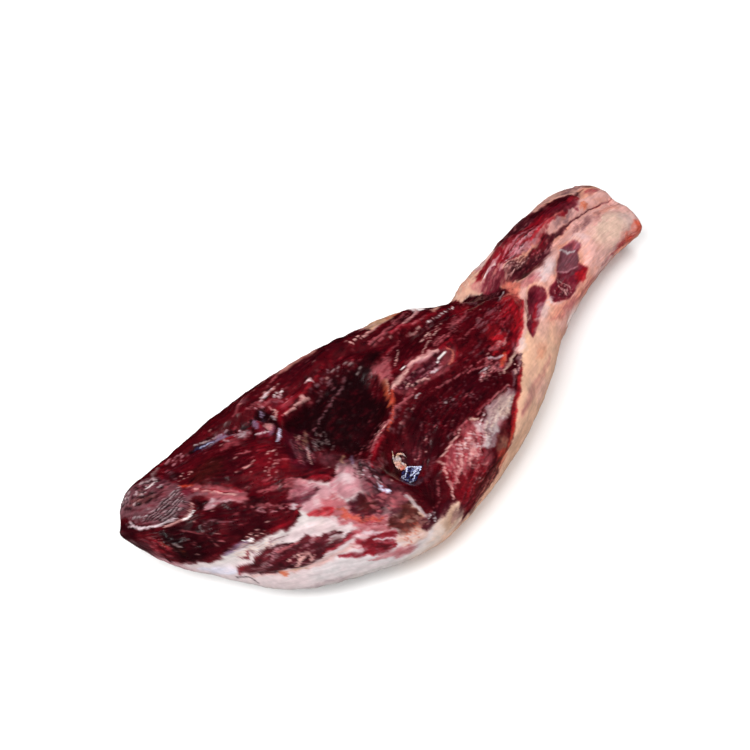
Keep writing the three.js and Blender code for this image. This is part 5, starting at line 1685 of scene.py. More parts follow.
SHANK: tuple[Feature, ...] = (
    # the far muscle of the shank and its ribs
    Patch(Ink.MAROON, ((150, 79), (154, 67), (166, 66), (184, 66), (200, 66), (216, 70), (240, 71),
        (256, 74), (248, 79), (232, 81), (216, 83), (214, 92), (196, 104), (160, 104), (152, 96)),
        4),
    Wash(Ink.WINE, (180, 80), (30, 14), 8, 0.4),
    Patch(Ink.WINE, ((196, 80), (214, 83), (236, 81), (254, 77), (262, 77), (250, 74), (238, 71),
        (226, 71), (212, 74)), 4, lift=-0.6),
    Wash(Ink.LEAN, (226, 76), (16, 6), strength=0.7),
    Patch(Ink.ASH, ((176, 86), (186, 84), (196, 84), (208, 86), (210, 90), (198, 92), (178, 90)), 5,
        0.5, 0.4, feather=2),
    Stroke(Ink.CRIMSON, ((184, 66), (194, 69), (206, 73), (216, 76)), (2, 4, 4, 2), lift=0),
    Patch(Ink.CRIMSON, ((140, 52), (160, 56), (180, 58), (200, 62), (220, 65), (244, 66), (262, 70),
        (256, 75), (236, 74), (214, 76), (196, 72), (176, 68), (156, 66), (142, 62))),
    Wash(Ink.MAROON, (232, 69), (22, 5), 2, 0.7),
    Patch(Ink.ROSE, ((150, 58), (164, 63), (180, 64), (196, 65), (214, 66), (200, 59), (186, 55),
        (170, 53), (156, 54)), 4, 0.75, 0.6),
    Fan(Ink.CRIMSON, ((134, 54), (164, 56), (206, 60)), ((140, 66), (170, 70), (210, 74)), 16, 371,
        1.2, strength=0.8, lift=-0.4),
    Fan(Ink.BLUSH, ((136, 53), (166, 55), (206, 60)), ((142, 62), (172, 66), (214, 70)), 16, 372,
        1.1),
    Fan(Ink.CHALK, ((136, 53), (166, 55), (196, 59)), ((142, 60), (172, 63), (204, 66)), 5, 384,
        0.7, (0.1, 0.25)),
    Fan(Ink.WINE, ((136, 53), (166, 55), (206, 60)), ((142, 66), (172, 70), (214, 76)), 9, 373,
        length=(0.15, 0.4), lift=-0.5),
    Fan(Ink.MAROON, ((206, 66), (226, 68), (250, 70)), ((206, 74), (226, 76), (256, 78)), 9, 374,
        1.2, lift=-0.3),
    Flecks(Ink.BLUSH, (176, 58), (18, 4), 8, 30, 132, (0.7, 1.8)),
    Stroke(Ink.BRIGHT, ((168, 60), (184, 60), (200, 63), (212, 66)), (0.8, 1.6, 1.6, 0.8), 0.75, 0),
    Stroke(Ink.CRIMSON, ((190, 53), (200, 58), (212, 63), (228, 64), (244, 65), (252, 67)),
        (1.2, 2.4, 2, 1.8, 1.6, 0.8), lift=-0.4),
    Patch(Ink.MAROON, ((132, 43), (144, 40), (160, 38), (176, 38), (190, 42), (202, 49), (212, 54),
        (206, 57), (192, 55), (176, 51), (160, 47), (144, 46)), lift=-0.5),
    Wash(Ink.CRIMSON, (196, 56), (14, 3), 8),
    Wash(Ink.MAROON, (150, 47), (20, 5), 3, 0.75),
    Fan(Ink.PINK, ((130, 43), (148, 44), (170, 45)), ((132, 50), (150, 52), (172, 52)), 12, 375,
        0.6, strength=0.8),
    Fan(Ink.WINE, ((130, 42), (148, 43), (170, 44)), ((132, 50), (150, 51), (172, 51)), 6, 376, 0.7,
        strength=0.8, lift=-0.6),
    Fan(Ink.CRIMSON, ((160, 42), (180, 46), (206, 53)), ((160, 46), (180, 52), (206, 58)), 7, 377,
        1.2, strength=0.6, lift=-0.3),
    Flecks(Ink.ROSE, (176, 46), (12, 4), 12, 16, 133),
    # the slit and its lips
    Patch(Ink.PINK, ((200, 58), (216, 63), (236, 63), (250, 67), (262, 69), (280, 70), (302, 73),
        (303, 61), (280, 60), (262, 60), (244, 58), (226, 56), (212, 55)), lift=0.7),
    Wash(Ink.PLUM, (246, 66), (14, 4), 5, 0.8),
    Wash(Ink.DUSK, (266, 76), (10, 4), 20),
    Wash(Ink.MAUVE, (228, 61), (20, 4), 3),
    Wash(Ink.ORANGE, (261, 63.5), (6.5, 3.2), -10, 0.85, 0.4),
    Wash(Ink.ROSE, (286, 74), (16, 5), 6, 0.75),
    Wash(Ink.BRIGHT, (282, 75), (9, 3), 6, 0.4),
    Wash(Ink.TAN, (290, 82), (8, 5), -20),
    Stroke(Ink.MAROON, ((304, 58), (284, 58.5), (266, 58.5), (248, 57.5), (230, 56), (214, 54),
        (200, 51)), (0.7, 0.9, 0.8, 1, 1.4, 2.2, 2.6), lift=-0.7, rag=0.3),
    Stroke(Ink.CRIMSON, ((304, 58), (288, 58), (272, 58)), (0.6, 0.8, 0.6), 0.7, 0, rag=0.2),
    Stroke(Ink.MAROON, ((214, 53), (220, 53), (226, 54)), 2.2, lift=0),
    # above the dark muscle: pinkish rind with a brownish tone to the cut end
    Patch(Ink.BUFF, ((212, 84), (228, 84), (246, 82), (262, 79), (276, 84), (292, 88), (302, 84),
        (302, 94), (270, 104), (230, 106), (208, 102)), 4, lift=0.5),
    Stroke(Ink.ROSE, ((196, 92), (210, 92), (226, 91), (240, 91)), (0.8, 1.2, 1, 0.6), 0.6, -0.3),
    Wash(Ink.DUSK, (254, 86), (14, 6), strength=0.75),
    Wash(Ink.DUSK, (272, 92), (26, 8), -10),
    Wash(Ink.MAUVE, (232, 92), (22, 7), strength=0.45),
    Fan(Ink.PINK, ((210, 84), (216, 92), (222, 100)), ((280, 84), (284, 90), (288, 97)), 16, 378,
        1.2, (0.3, 0.8), 0.55),
    Wash(Ink.ROSE, (218, 88), (5, 9), 60, 0.5),
    Wash(Ink.PEARL, (206, 90), (14, 6), strength=0.5),
    Stroke(Ink.PINK, ((256, 76), (264, 79), (272, 83), (280, 86)), (0.8, 1.8, 1.8, 0.8), lift=0.8),
    Stroke(Ink.WINE, ((258, 74), (266, 77), (274, 80), (280, 82)), (0.8, 1.6, 1.2, 0.6), lift=-0.6),
    Wash(Ink.BROWN, (288, 85), (8, 4), -10, 0.5),
    # the near half: pale fat over the joint
    Patch(Ink.PINK, ((206, 46), (220, 52), (244, 56), (270, 57), (302, 56), (303, 12), (280, 8),
        (250, 0), (226, -2), (212, 4), (212, 16), (220, 26), (218, 36), (206, 38)), 5, lift=0.6),
    Wash(Ink.CREAM, (262, 28), (40, 14), strength=0.85, lift=0.4),
    Wash(Ink.PEARL, (284, 26), (18, 9), strength=0.3),
    Fan(Ink.CREAM, ((222, 16), (238, 22), (256, 24)), ((256, 40), (276, 44), (300, 44)), 14, 379,
        1.6, strength=0.5),
    Fan(Ink.DUSK, ((216, 38), (224, 44), (232, 52)), ((256, 38), (266, 46), (276, 55)), 18, 380,
        1.3, (0.4, 0.9), 0.5, -0.3),
    Wash(Ink.SALMON, (276, 46), (24, 8), 4),
    Wash(Ink.BUFF, (250, 20), (30, 14), 10, 0.35),
    Wash(Ink.ROSE, (252, 38), (12, 4), 20, 0.35),
    Stroke(Ink.DUSK, ((230, 37), (240, 41), (252, 49), (260, 54)), (2, 5, 5, 2.5), 0.5, -0.3, 1),
    Stroke(Ink.BRIGHT, ((254, 8), (266, 7), (280, 7), (296, 9)), (1.5, 4.4, 4.6, 2.4), 0.75, 0,
        rag=1.2),
    Patch(Ink.CORAL, ((252, 9), (262, 13), (275, 13), (288, 19), (300, 20), (301, 6), (286, 1),
        (268, 0), (256, 3)), 5, 0.8, 0.2, rag=2, feather=2),
    Wash(Ink.RUST, (292, 14), (8, 5), 20),
    Fan(Ink.CRIMSON, ((254, 6), (266, 2), (280, 0)), ((262, 12), (276, 10), (296, 12)), 7, 382, 1.1,
        strength=0.6, lift=-0.2),
    Stroke(Ink.CRIMSON, ((245, 1), (250, -2), (254, -5)), 2.2, 0.6, 0),
    Stroke(Ink.BRIGHT, ((226, -3), (236, -2), (246, -1), (256, 2), (265, 4)), (1, 2.6, 2.6, 1.6),
        0.5, 0, rag=1.2),
    Wash(Ink.CREAM, (254, 20), (30, 15), 8, 0.65),
    # reddish skin along the near side
    Stroke(Ink.ROSE, ((152, -16), (166, -18), (184, -18), (200, -13), (222, -8)), (2, 4.5, 5, 5, 2),
        0.6, 0, 1),
    Stroke(Ink.ROSE, ((132, -20), (146, -22), (160, -24)), 4, 0.4, 0, 1),
    Wash(Ink.ORANGE, (98, -42), (16, 6), 32, 0.4),
    Wash(Ink.PINK, (120, -20), (24, 9), 36, 0.7, 0.3),
    Wash(Ink.PINK, (160, -28), (40, 12), 10),
    Wash(Ink.CORAL, (206, -12), (46, 7), 8, 0.35),
    Wash(Ink.CORAL, (160, -19), (34, 6), 8, 0.3),
    Wash(Ink.SALMON, (150, -16), (30, 6), 8, 0.5),
    Wash(Ink.PEARL, (132, -8), (14, 6), 36, 0.5, 0.3),
    Stroke(Ink.ROSE, ((30, -80), (50, -76), (70, -71), (88, -60), (104, -50)), (3, 5, 5, 5, 3),
        0.35, 0, 1),
    Stroke(Ink.PEACH, ((20, -86), (40, -68), (60, -56), (78, -42), (90, -34)), (4, 6, 6, 6, 4), 0.6,
        0, 1),
    Wash(Ink.PINK, (76, -78), (26, 12), 20, 0.5),
    Wash(Ink.TAN, (24, -104), (26, 10), 14, 0.4),
    Wash(Ink.BUFF, (106, -31), (36, 12), 30, 0.5),
    Wash(Ink.BUFF, (72, -57), (20, 7), 36, 0.45),
    Wash(Ink.ROSE, (164, -19), (22, 7), 14, 0.4),
    # a painted highlight along the lower edge of the skin
    Wash(Ink.GLINT, (170, -31), (26, 7), 14),
)

TINTS: tuple[Feature, ...] = (
    # broad shifts of tone over the finished regions
    Wash(Ink.PLUM, (-125, -50), (6, 6), strength=0.4),
    Wash(Ink.DUSK, (-85, -50), (7, 6)),
    Wash(Ink.MAROON, (-125, 75), (10, 6)),
    Wash(Ink.MAROON, (37, -60), (8, 4), 10),
    Wash(Ink.ROSE, (5, -80), (8, 5), strength=0.5),
    Wash(Ink.BLUSH, (48, -34), (10, 7), 20, 0.4),
    Wash(Ink.LILAC, (-183, 86), (12, 7), -30, 0.7),
    Wash(Ink.ROSE, (-130, -118), (14, 7), -30, 0.45),
    Wash(Ink.PLUM, (135, 56), (8, 4), strength=0.4),
    Wash(Ink.ROSE, (148, 25), (14, 6), strength=0.35),
    Wash(Ink.MAUVE, (264, 85), (14, 5), 15, 0.5),
    # a painted highlight along the lower edge of the near skin
    Wash(Ink.GLINT, (160, -35), (16, 5), 14, 0.5),
    Wash(Ink.BLUSH, (75, -26), (7, 5), 30, 0.5),
    Wash(Ink.ROSE, (186, -5), (8, 4), 10, 0.4),
    Wash(Ink.WINE, (15, 55), (8, 6), strength=0.5),
    Wash(Ink.MAROON, (-65, -120), (9, 5)),
    Wash(Ink.MAUVE, (-145, 95), (7, 4), strength=0.5),
    # the near muscle's membrane and red border
    Wash(Ink.CREAM, (8, -68), (26, 9), 25, 0.45),
    Fan(Ink.MAUVE, ((-18, -84), (-4, -76), (12, -68)), ((-14, -66), (4, -60), (24, -60)), 9, 404,
        strength=0.6, lift=-0.3),
    Wash(Ink.PINK, (-34, -78), (24, 12), 30, 0.3),
    Fan(Ink.CHALK, ((-58, -76), (-44, -84), (-30, -92)), ((-40, -64), (-26, -70), (-14, -80)), 16,
        405, length=(0.1, 0.35)),
    Fan(Ink.PINK, ((-60, -100), (-44, -108), (-28, -112)), ((-44, -88), (-30, -96), (-16, -98)), 10,
        406, length=(0.1, 0.4), strength=0.55),
    Fan(Ink.PINK, ((-62, -72), (-62, -86), (-66, -102)), ((-44, -66), (-46, -80), (-48, -98)), 12,
        403, length=(0.1, 0.4), strength=0.6),
    Stroke(Ink.ROSE, ((28, -82), (44, -74), (60, -68), (78, -62)), (3, 6, 6, 3), 0.4, 0, 0.95),
    Stroke(Ink.BRIGHT, ((62, -46), (50, -55), (38, -62), (28, -69), (16, -80), (8, -90)),
        (1.2, 2, 2.2, 2.2, 2.2, 1.4), 0.7, 0),
    Fan(Ink.PEARL, ((20, -37), (28, -33), (38, -30)), ((26, -29), (34, -26), (42, -26)), 7, 407,
        length=(0.1, 0.4), strength=0.85),
    Stroke(Ink.RUST, ((48, -35), (56, -31), (64, -25)), 3, 0.75, 0),
    Stroke(Ink.PEARL, ((46, -22), (54, -26), (60, -27)), 2.6, lift=0.6),
    Wash(Ink.BROWN, (-120, -100), (14, 7), -20, 0.5),
    # the knee
    Wash(Ink.ROSE, (106, 56), (10, 6), -40),
    Wash(Ink.WINE, (98, 44), (17, 10), -35),
    Wash(Ink.BRIGHT, (112, 14), (9, 7), 30),
    # the far edge of the thigh, with a painted highlight on it
    Wash(Ink.PINK, (-10, 80), (5, 13), 20),
    Patch(Ink.GLINT, ((34, 84), (40, 74), (46, 72), (51, 75), (46, 84), (38, 88)), 2, lift=0.4),
    Stroke(Ink.PINK, ((8, 52), (20, 54), (30, 57), (36, 66), (40, 74)), (0.8, 1.6, 2.4, 2.4, 1.6),
        0.65, 0),
    Stroke(Ink.PINK, ((-48, 3), (-40, 8), (-28, 11), (-14, 12), (0, 10), (8, 6)),
        (1.2, 3, 3, 2.2, 2.4, 1.2), 0.65),
    # the lobes and painted glints at the hip
    Patch(Ink.PINK, ((-153, 53), (-150, 51), (-146, 53), (-145, 58), (-148, 61), (-152, 59)), 1.5,
        0.6, 0.6, rag=0.4),
    Patch(Ink.LILAC, ((-158, 64), (-156, 74), (-153, 77), (-150, 74), (-152, 66), (-155, 62)), 2,
        0.8, 0.5, rag=0.4),
    Patch(Ink.CRIMSON, ((-154, 60), (-150, 61), (-149, 66), (-151, 70), (-154, 66)), 1.5),
    Stroke(Ink.PEARL, ((-162, 58), (-158, 53), (-154, 51)), 1.4),
    # painted shade under the lobes
    Stroke(Ink.NIGHT, ((-163, 49), (-155, 47), (-148, 48), (-142, 54)), 1.3, 0.8, -0.4),
    Patch(Ink.PEARL, ((-187, -18), (-184, -16), (-182, -18), (-183, -21), (-186, -21)), 1.5, 0.85,
        0.8, rag=0.3),
    Stroke(Ink.PEARL, ((-290, 84), (-286, 70), (-278, 60), (-268, 53), (-260, 49)), 1.5, 0.8),
    Wash(Ink.WINE, (-85, 84), (36, 12), -8, 0.4),
    Wash(Ink.ROSE, (-120, 68), (11, 6), -10, 0.5),
    Stroke(Ink.PEARL, ((-135, 84), (-128, 87), (-119, 88)), 2),
    # the skin at the shank's end
    Wash(Ink.PEARL, (218, 32), (14, 12), strength=0.4),
    Wash(Ink.RUST, (277, 6), (10, 6), 10),
    Wash(Ink.RUST, (294, 13), (6, 7), strength=0.5),
    Wash(Ink.BLUSH, (255, 8), (14, 6), 10, 0.4),
    Wash(Ink.PEARL, (235, -6), (26, 8), 6, 0.5),
)

# tiny painted glints of the wet lean, in pink and rose, and small dark specks
GLINTS_AND_SPECKS: tuple[Feature, ...] = (
    Flecks(Ink.ROSE, (-90, 20), (220, 95), 0, 200, 201, (0.6, 1.1), 4, 0.45, on_lean=True),
    Flecks(Ink.PINK, (-90, 20), (220, 95), 0, 120, 202, (0.5, 0.9), 4, 0.6, on_lean=True),
    Flecks(Ink.NIGHT, (-90, 20), (220, 95), 0, 420, 203, (0.7, 2), 2.6, 0.6, -0.3, True),
)

SURFACE: tuple[Feature, ...] = (
    RUMP + FLANK + HIP + HOLLOW + THIGH + MEMBRANE + KNEE + SHANK + TINTS + GLINTS_AND_SPECKS
)


@dataclass(frozen=True)
class MeatFinish:
    """The finish of the ham: its painted tones with fine grain, wet on the lean."""

    name: str = "cured_meat"
    coat: float = 0.25
    coat_roughness: float = 0.14
    gloss: float = 0.3
    dry_roughness: float = 0.62
    wet_roughness: float = 0.27
    grain: float = 1100.0
    mottle: float = 260.0
    threads: tuple[float, float, float] = (160.0, 1150.0, 1.0)
    tones: Place = (0.74, 1.26)
    wet_from: Place = (0.35, 0.85)
    thread_share: float = 0.6
    mottle_share: float = 0.25
    bump: float = 0.5
    dry_bump: float = 0.12
    bump_depth: float = 0.0006

    def make(self) -> bpy.types.Material:
        """Builds the material.

        Returns:
            The material, which reads the paint and the wetness from the mesh.
        """
        material = bpy.data.materials.new(self.name)
        material.use_nodes = True
        tree = material.node_tree
        shader = tree.nodes["Principled BSDF"]
        shader.inputs["Coat Weight"].default_value = self.coat
        shader.inputs["Coat Roughness"].default_value = self.coat_roughness
        shader.inputs["Specular IOR Level"].default_value = self.gloss
        paint = node(tree, "ShaderNodeAttribute", attribute_name="paint")
        wet = node(tree, "ShaderNodeAttribute", attribute_name="wet")
        place = node(tree, "ShaderNodeTexCoord")
        strands = node(tree, "ShaderNodeUVMap", uv_map="fibres")
        stretch = node(tree, "ShaderNodeMapping")
        stretch.inputs["Scale"].default_value = self.threads
        tree.links.new(strands.outputs["UV"], stretch.inputs["Vector"])
        fine = noise_node(tree, place.outputs["Object"], self.grain, 3.0)
        soft = noise_node(tree, place.outputs["Object"], self.mottle, 2.0)
        thread = noise_node(tree, stretch.outputs["Vector"], 1.0, 3.0)
        shade = mix_value(tree, fine, thread, self.thread_share)
        uneven_tone = ranged(tree, shade, (0.32, 0.68), self.tones)
        strong = ranged(tree, wet.outputs["Fac"], self.wet_from, (0.08, 1.0))
        level = mix_value(tree, 1.0, uneven_tone, strong)
        tinted = node(tree, "ShaderNodeVectorMath", operation="SCALE")
        tree.links.new(paint.outputs["Color"], tinted.inputs[0])
        tree.links.new(level, tinted.inputs["Scale"])
        tree.links.new(tinted.outputs["Vector"], shader.inputs["Base Color"])
        uneven = mix_value(tree, wet.outputs["Fac"], soft, self.mottle_share)
        rough = ranged(tree, uneven, (0.2, 0.85), (self.dry_roughness, self.wet_roughness))
        tree.links.new(rough, shader.inputs["Roughness"])
        height = mix_value(tree, soft, shade, 0.5)
        bump = node(tree, "ShaderNodeBump")
        strength = ranged(tree, wet.outputs["Fac"], self.wet_from, (self.dry_bump, self.bump))
        tree.links.new(strength, bump.inputs["Strength"])
        bump.inputs["Distance"].default_value = self.bump_depth
        tree.links.new(height, bump.inputs["Height"])
        tree.links.new(bump.outputs["Normal"], shader.inputs["Normal"])
        tree.links.new(bump.outputs["Normal"], shader.inputs["Coat Normal"])
        return material


def node(tree: bpy.types.NodeTree, kind: str, **settings: object) -> bpy.types.Node:
    """Adds a node and sets its named settings.

    Args:
        tree: The material's nodes.
        kind: The kind of node.
        settings: The settings, by name.

    Returns:
        The node.
    """
    made = tree.nodes.new(kind)
    for name, value in settings.items():
        setattr(made, name, value)
    return made


def noise_node(
    tree: bpy.types.NodeTree, place: bpy.types.NodeSocket, scale: float, detail: float
) -> bpy.types.NodeSocket:
    """Adds a noise texture.

    Args:
        tree: The material's nodes.
        place: The coordinates that it reads.
        scale: How many times it repeats in one unit of them.
        detail: How many finer layers it has.

    Returns:
        The socket with its value.
    """
    made = node(tree, "ShaderNodeTexNoise")
    made.inputs["Scale"].default_value = scale
    made.inputs["Detail"].default_value = detail
    tree.links.new(place, made.inputs["Vector"])
    return made.outputs["Fac"]


def mix_value(
    tree: bpy.types.NodeTree,
    first: bpy.types.NodeSocket | float,
    second: bpy.types.NodeSocket | float,
    share: bpy.types.NodeSocket | float,
) -> bpy.types.NodeSocket:
    """Mixes two values.

    Args:
        tree: The material's nodes.
        first: The first value, as a socket or a number.
        second: The second value.
        share: The share of the second value.

    Returns:
        The socket with the mixed value.
    """
    made = node(tree, "ShaderNodeMix", data_type="FLOAT")
    for name, value in (("Factor", share), ("A", first), ("B", second)):
        if isinstance(value, float):
            made.inputs[name].default_value = value
        else:
            tree.links.new(value, made.inputs[name])
    return made.outputs["Result"]


def ranged(
    tree: bpy.types.NodeTree, value: bpy.types.NodeSocket, old: Place, new: Place
) -> bpy.types.NodeSocket:
    """Maps a value from one range to another, and holds it within the new one.

    Args:
        tree: The material's nodes.
        value: The socket with the value.
        old: The two ends of its range.
        new: What they become.

    Returns:
        The socket with the mapped value.
    """
    made = node(tree, "ShaderNodeMapRange")
    for socket, number in zip(("From Min", "From Max", "To Min", "To Max"), old + new):
        made.inputs[socket].default_value = number
    tree.links.new(value, made.inputs["Value"])
    return made.outputs["Result"]


def rise(x: Array, start: float, length: float, full: float = 1.0) -> Array:
    """Eases from 0 at the start up to full, a length further on, or back if it is negative."""
    return smooth((x - start) / length) * full


def named(name: str) -> bpy.types.Object:
    """Names the object that was just added, and its mesh.

    Args:
        name: The name of the piece.

    Returns:
        The object.
    """
    piece = bpy.context.active_object
    piece.name = name
    piece.data.name = name
    return piece


def points_of(mesh: bpy.types.Mesh) -> Array:
    """Reads where a mesh's points are.

    Args:
        mesh: The mesh.

    Returns:
        One row of three coordinates for each point, in metres.
    """
    flat = np.empty(len(mesh.vertices) * 3)
    mesh.vertices.foreach_get("co", flat)
    return flat.reshape(-1, 3)


def put(mesh: bpy.types.Mesh, points: Array) -> None:
    """Moves a mesh's points to places round the outline's origin, in millimetres."""
    points[:, :2] -= PLAN_CENTRE
    mesh.vertices.foreach_set("co", (points * MM).ravel())


def close_up() -> None:
    """Turns the active piece's faces outwards, and smooths them."""
    bpy.ops.object.mode_set(mode="EDIT")
    bpy.ops.mesh.select_all(action="SELECT")
    bpy.ops.mesh.normals_make_consistent(inside=False)
    bpy.ops.object.mode_set(mode="OBJECT")
    bpy.ops.object.shade_smooth()


@dataclass(frozen=True)
class Skin:
    """The skin and the fat under it, whose tone changes from the rump to the shank.

    A change is given by where along the ham it starts, the length over which it comes in
    (negative towards the rump), and how strong it gets.
    """

    sway: float = 9.0
    blotch_size: float = 30.0
    blotches: float = 0.3
    paler: tuple[float, float, float] = (-85.0, -60.0, 0.9)
    redder: tuple[float, float, float] = (105.0, 60.0, 0.75)
    pinker: tuple[float, float, float] = (90.0, 80.0, 0.7)
    less_tan: tuple[float, float, float] = (60.0, 60.0, 0.7)

    def lay(self, canvas: Canvas) -> None:
        """Lays the skin over the whole surface.

        Args:
            canvas: The surface's tones.
        """
        every = np.arange(len(canvas.q))
        x = canvas.x + self.sway * canvas.shift_x
        blotch = Noise(21).layered(canvas.points / self.blotch_size, 3)
        canvas.blend(every, np.ones(len(x)), Ink.PEACH)
        canvas.blend(every, rise(x, *self.paler), Ink.PALE)
        canvas.blend(every, rise(x, *self.redder), Ink.SALMON)
        canvas.blend(every, rise(x, *self.pinker) * smooth(0.4 + blotch), Ink.PINK)
        tan = self.blotches * (1 - rise(x, *self.less_tan))
        canvas.blend(every, smooth(blotch * 1.2 - 0.25) * tan, Ink.TAN)
        canvas.blend(every, smooth(-blotch * 1.2 - 0.25) * self.blotches, Ink.CREAM)


@dataclass(frozen=True)
class Grain:
    """Marbling, streaks and mottling, with how strong each is and its size in millimetres.

    The two numbers of the mottling and of the specks hold on skin, and what lean adds to them.
    """

    marbling: float = 0.16
    web: float = 0.16
    web_lift: float = 0.25
    web_size: Place = (13.0, 6.0)
    web_width: float = 0.055
    vivid: float = 0.2
    vivid_size: Place = (22.0, 5.0)
    streaks: float = 0.32
    mottling: Place = (0.03, 0.14)
    mottle_size: float = 6.0
    specks: Place = (0.015, 0.07)
    speck_size: float = 2.6

    def lay(self, canvas: Canvas) -> None:
        """Adds them to the tones laid down.

        Args:
            canvas: The surface's tones.
        """
        every = np.arange(len(canvas.q))
        streak = canvas.comb * canvas.fibre
        mottle = Noise(31).layered(canvas.points / self.mottle_size, 3)
        pale = smooth((streak - 0.36) / 0.4) * canvas.fibre * smooth(0.5 + 1.5 * mottle)
        lit = smooth(canvas.rgb.max(axis=1) / 0.2)
        canvas.blend(every, self.marbling * pale * lit, Ink.ROSE)
        sway = np.stack([canvas.shift_x, canvas.shift_q, mottle], -1)
        bent = canvas.strands(*self.web_size) + 0.35 * sway
        web = smooth(1 - abs(Noise(32).at(bent)) / self.web_width) * smooth(0.2 + 2.0 * mottle)
        canvas.blend(every, self.web * web * canvas.fibre, Ink.ROSE)
        canvas.lift += self.web_lift * web * canvas.fibre
        vivid = smooth(1.6 * Noise(33).layered(canvas.strands(*self.vivid_size), 3) - 0.1)
        canvas.blend(every, self.vivid * vivid * lit * smooth(2 * canvas.fibre - 0.9), Ink.CRIMSON)
        speck = Noise(34).layered(canvas.points / self.speck_size, 2)
        level = 1 + self.streaks * streak
        level += (self.mottling[0] + self.mottling[1] * canvas.fibre) * mottle
        level += (self.specks[0] + self.specks[1] * canvas.fibre) * speck
        canvas.rgb = np.clip(canvas.rgb * level[:, None], 0.0, 1.0)


@dataclass
class HamBody:
    """The whole ham: its form, the fine relief of its surface, and its tones.

    The lumps, threads and wrinkles are the heights of its finest relief, in millimetres.
    """

    form: HamForm
    skin: Skin = Skin()
    features: tuple[Feature, ...] = SURFACE
    grain: Grain = Grain()
    name: str = "ham_body"
    lumps: float = 0.7
    lump_size: float = 13.0
    threads: float = 0.45
    wrinkles: float = 0.25
    wrinkle_size: float = 4.5
    rest_height: float = 8.0
    tip_length: float = 12.0
    cut_length: float = 4.0
    cut_smoothing: float = 0.7
    shelf: "Shelf | None" = None

    def surface(self) -> tuple[Array, Canvas]:
        """Works out the finished surface.

        Returns:
            Its points, in millimetres, and what is painted on them.
        """
        form = self.form
        base = form.base()
        normal = form.normals(base).reshape(-1, 3)
        q = form.across(base).ravel()
        share = form.cut_side(base, normal.reshape(base.shape)).ravel()
        flat = base.reshape(-1, 3)
        canvas = Canvas(flat, q, FibreField())
        self.skin.lay(canvas)
        canvas.paint(self.features)
        self.grain.lay(canvas)
        lumps = self.lumps * Noise(11).layered(flat / self.lump_size, 2)
        threads = self.threads * canvas.fibre * canvas.comb
        wrinkles = self.wrinkles * Noise(12).layered(flat / self.wrinkle_size, 2)
        low = (1 - smooth(flat[:, 2] / self.rest_height)) * (1 - share)
        height = share * form.main_relief(flat[:, 0], q)
        fine = canvas.lift * smooth(share * 4.0) + lumps + threads + wrinkles
        fine *= rise(flat[:, 0], OUTLINE[0].x, self.tip_length)
        cut = rise(flat[:, 0], OUTLINE[-1].x - self.cut_length, self.cut_length)
        fine *= 1 - self.cut_smoothing * cut
        points = flat + normal * (height + fine * (1 - low))[:, None]
        points[:, 2] = np.maximum(points[:, 2], 0.0)
        return points, canvas

    def build(self) -> bpy.types.Object:
        """Makes the piece: a ball whose rings become the ham's.

        Returns:
            The finished piece.
        """
        form = self.form
        bpy.ops.object.select_all(action="DESELECT")
        bpy.ops.mesh.primitive_uv_sphere_add(segments=form.around, ring_count=form.rings + 1)
        ball = named(self.name)
        mesh = ball.data
        place = points_of(mesh)
        polar = np.arccos(np.clip(place[:, 2], -1, 1)) / math.pi * (form.rings + 1)
        ring = np.rint(polar).astype(int) - 1
        turn = np.arctan2(place[:, 1], place[:, 0]) / (2 * math.pi) * form.around
        spot = np.rint(turn).astype(int) % form.around
        points, canvas = self.surface()
        grid = points.reshape(form.rings, form.around, 3)
        index = np.clip(ring, 0, form.rings - 1) * form.around + spot
        placed = points[index]
        placed[ring < 0] = grid[0].mean(axis=0)
        placed[ring < 0, 0] = OUTLINE[0].x
        placed[ring >= form.rings] = grid[-1].mean(axis=0)
        put(mesh, placed)
        self.shelf = Shelf(canvas.x, canvas.q, points)
        strands = np.stack([canvas.along, canvas.over], -1)
        dress(mesh, canvas.rgb[index], canvas.wet[index], strands[index])
        close_up()
        mesh.materials.append(MeatFinish().make())
        return ball


def dress(mesh: bpy.types.Mesh, rgb: Array, wet: Array, strands: Array) -> None:
    """Puts tones, wetness and the fibres' coordinates on a mesh.

    Args:
        mesh: The mesh.
        rgb: The tone of each of its points, as seen.
        wet: How wet each of them is.
        strands: Their coordinates along and across the fibres, in millimetres.
    """
    light = np.where(rgb <= 0.04045, rgb / 12.92, ((rgb + 0.055) / 1.055) ** 2.4)
    opaque = np.ones((len(light), 1))
    paint = mesh.attributes.new("paint", "FLOAT_COLOR", "POINT")
    paint.data.foreach_set("color", np.hstack([light, opaque]).astype(np.float32).ravel())
    sheen = mesh.attributes.new("wet", "FLOAT", "POINT")
    sheen.data.foreach_set("value", wet.astype(np.float32))
    corner = np.empty(len(mesh.loops), np.int32)
    mesh.loops.foreach_get("vertex_index", corner)
    layer = mesh.uv_layers.new(name="fibres")
    layer.data.foreach_set("uv", (strands[corner] * MM).astype(np.float32).ravel())


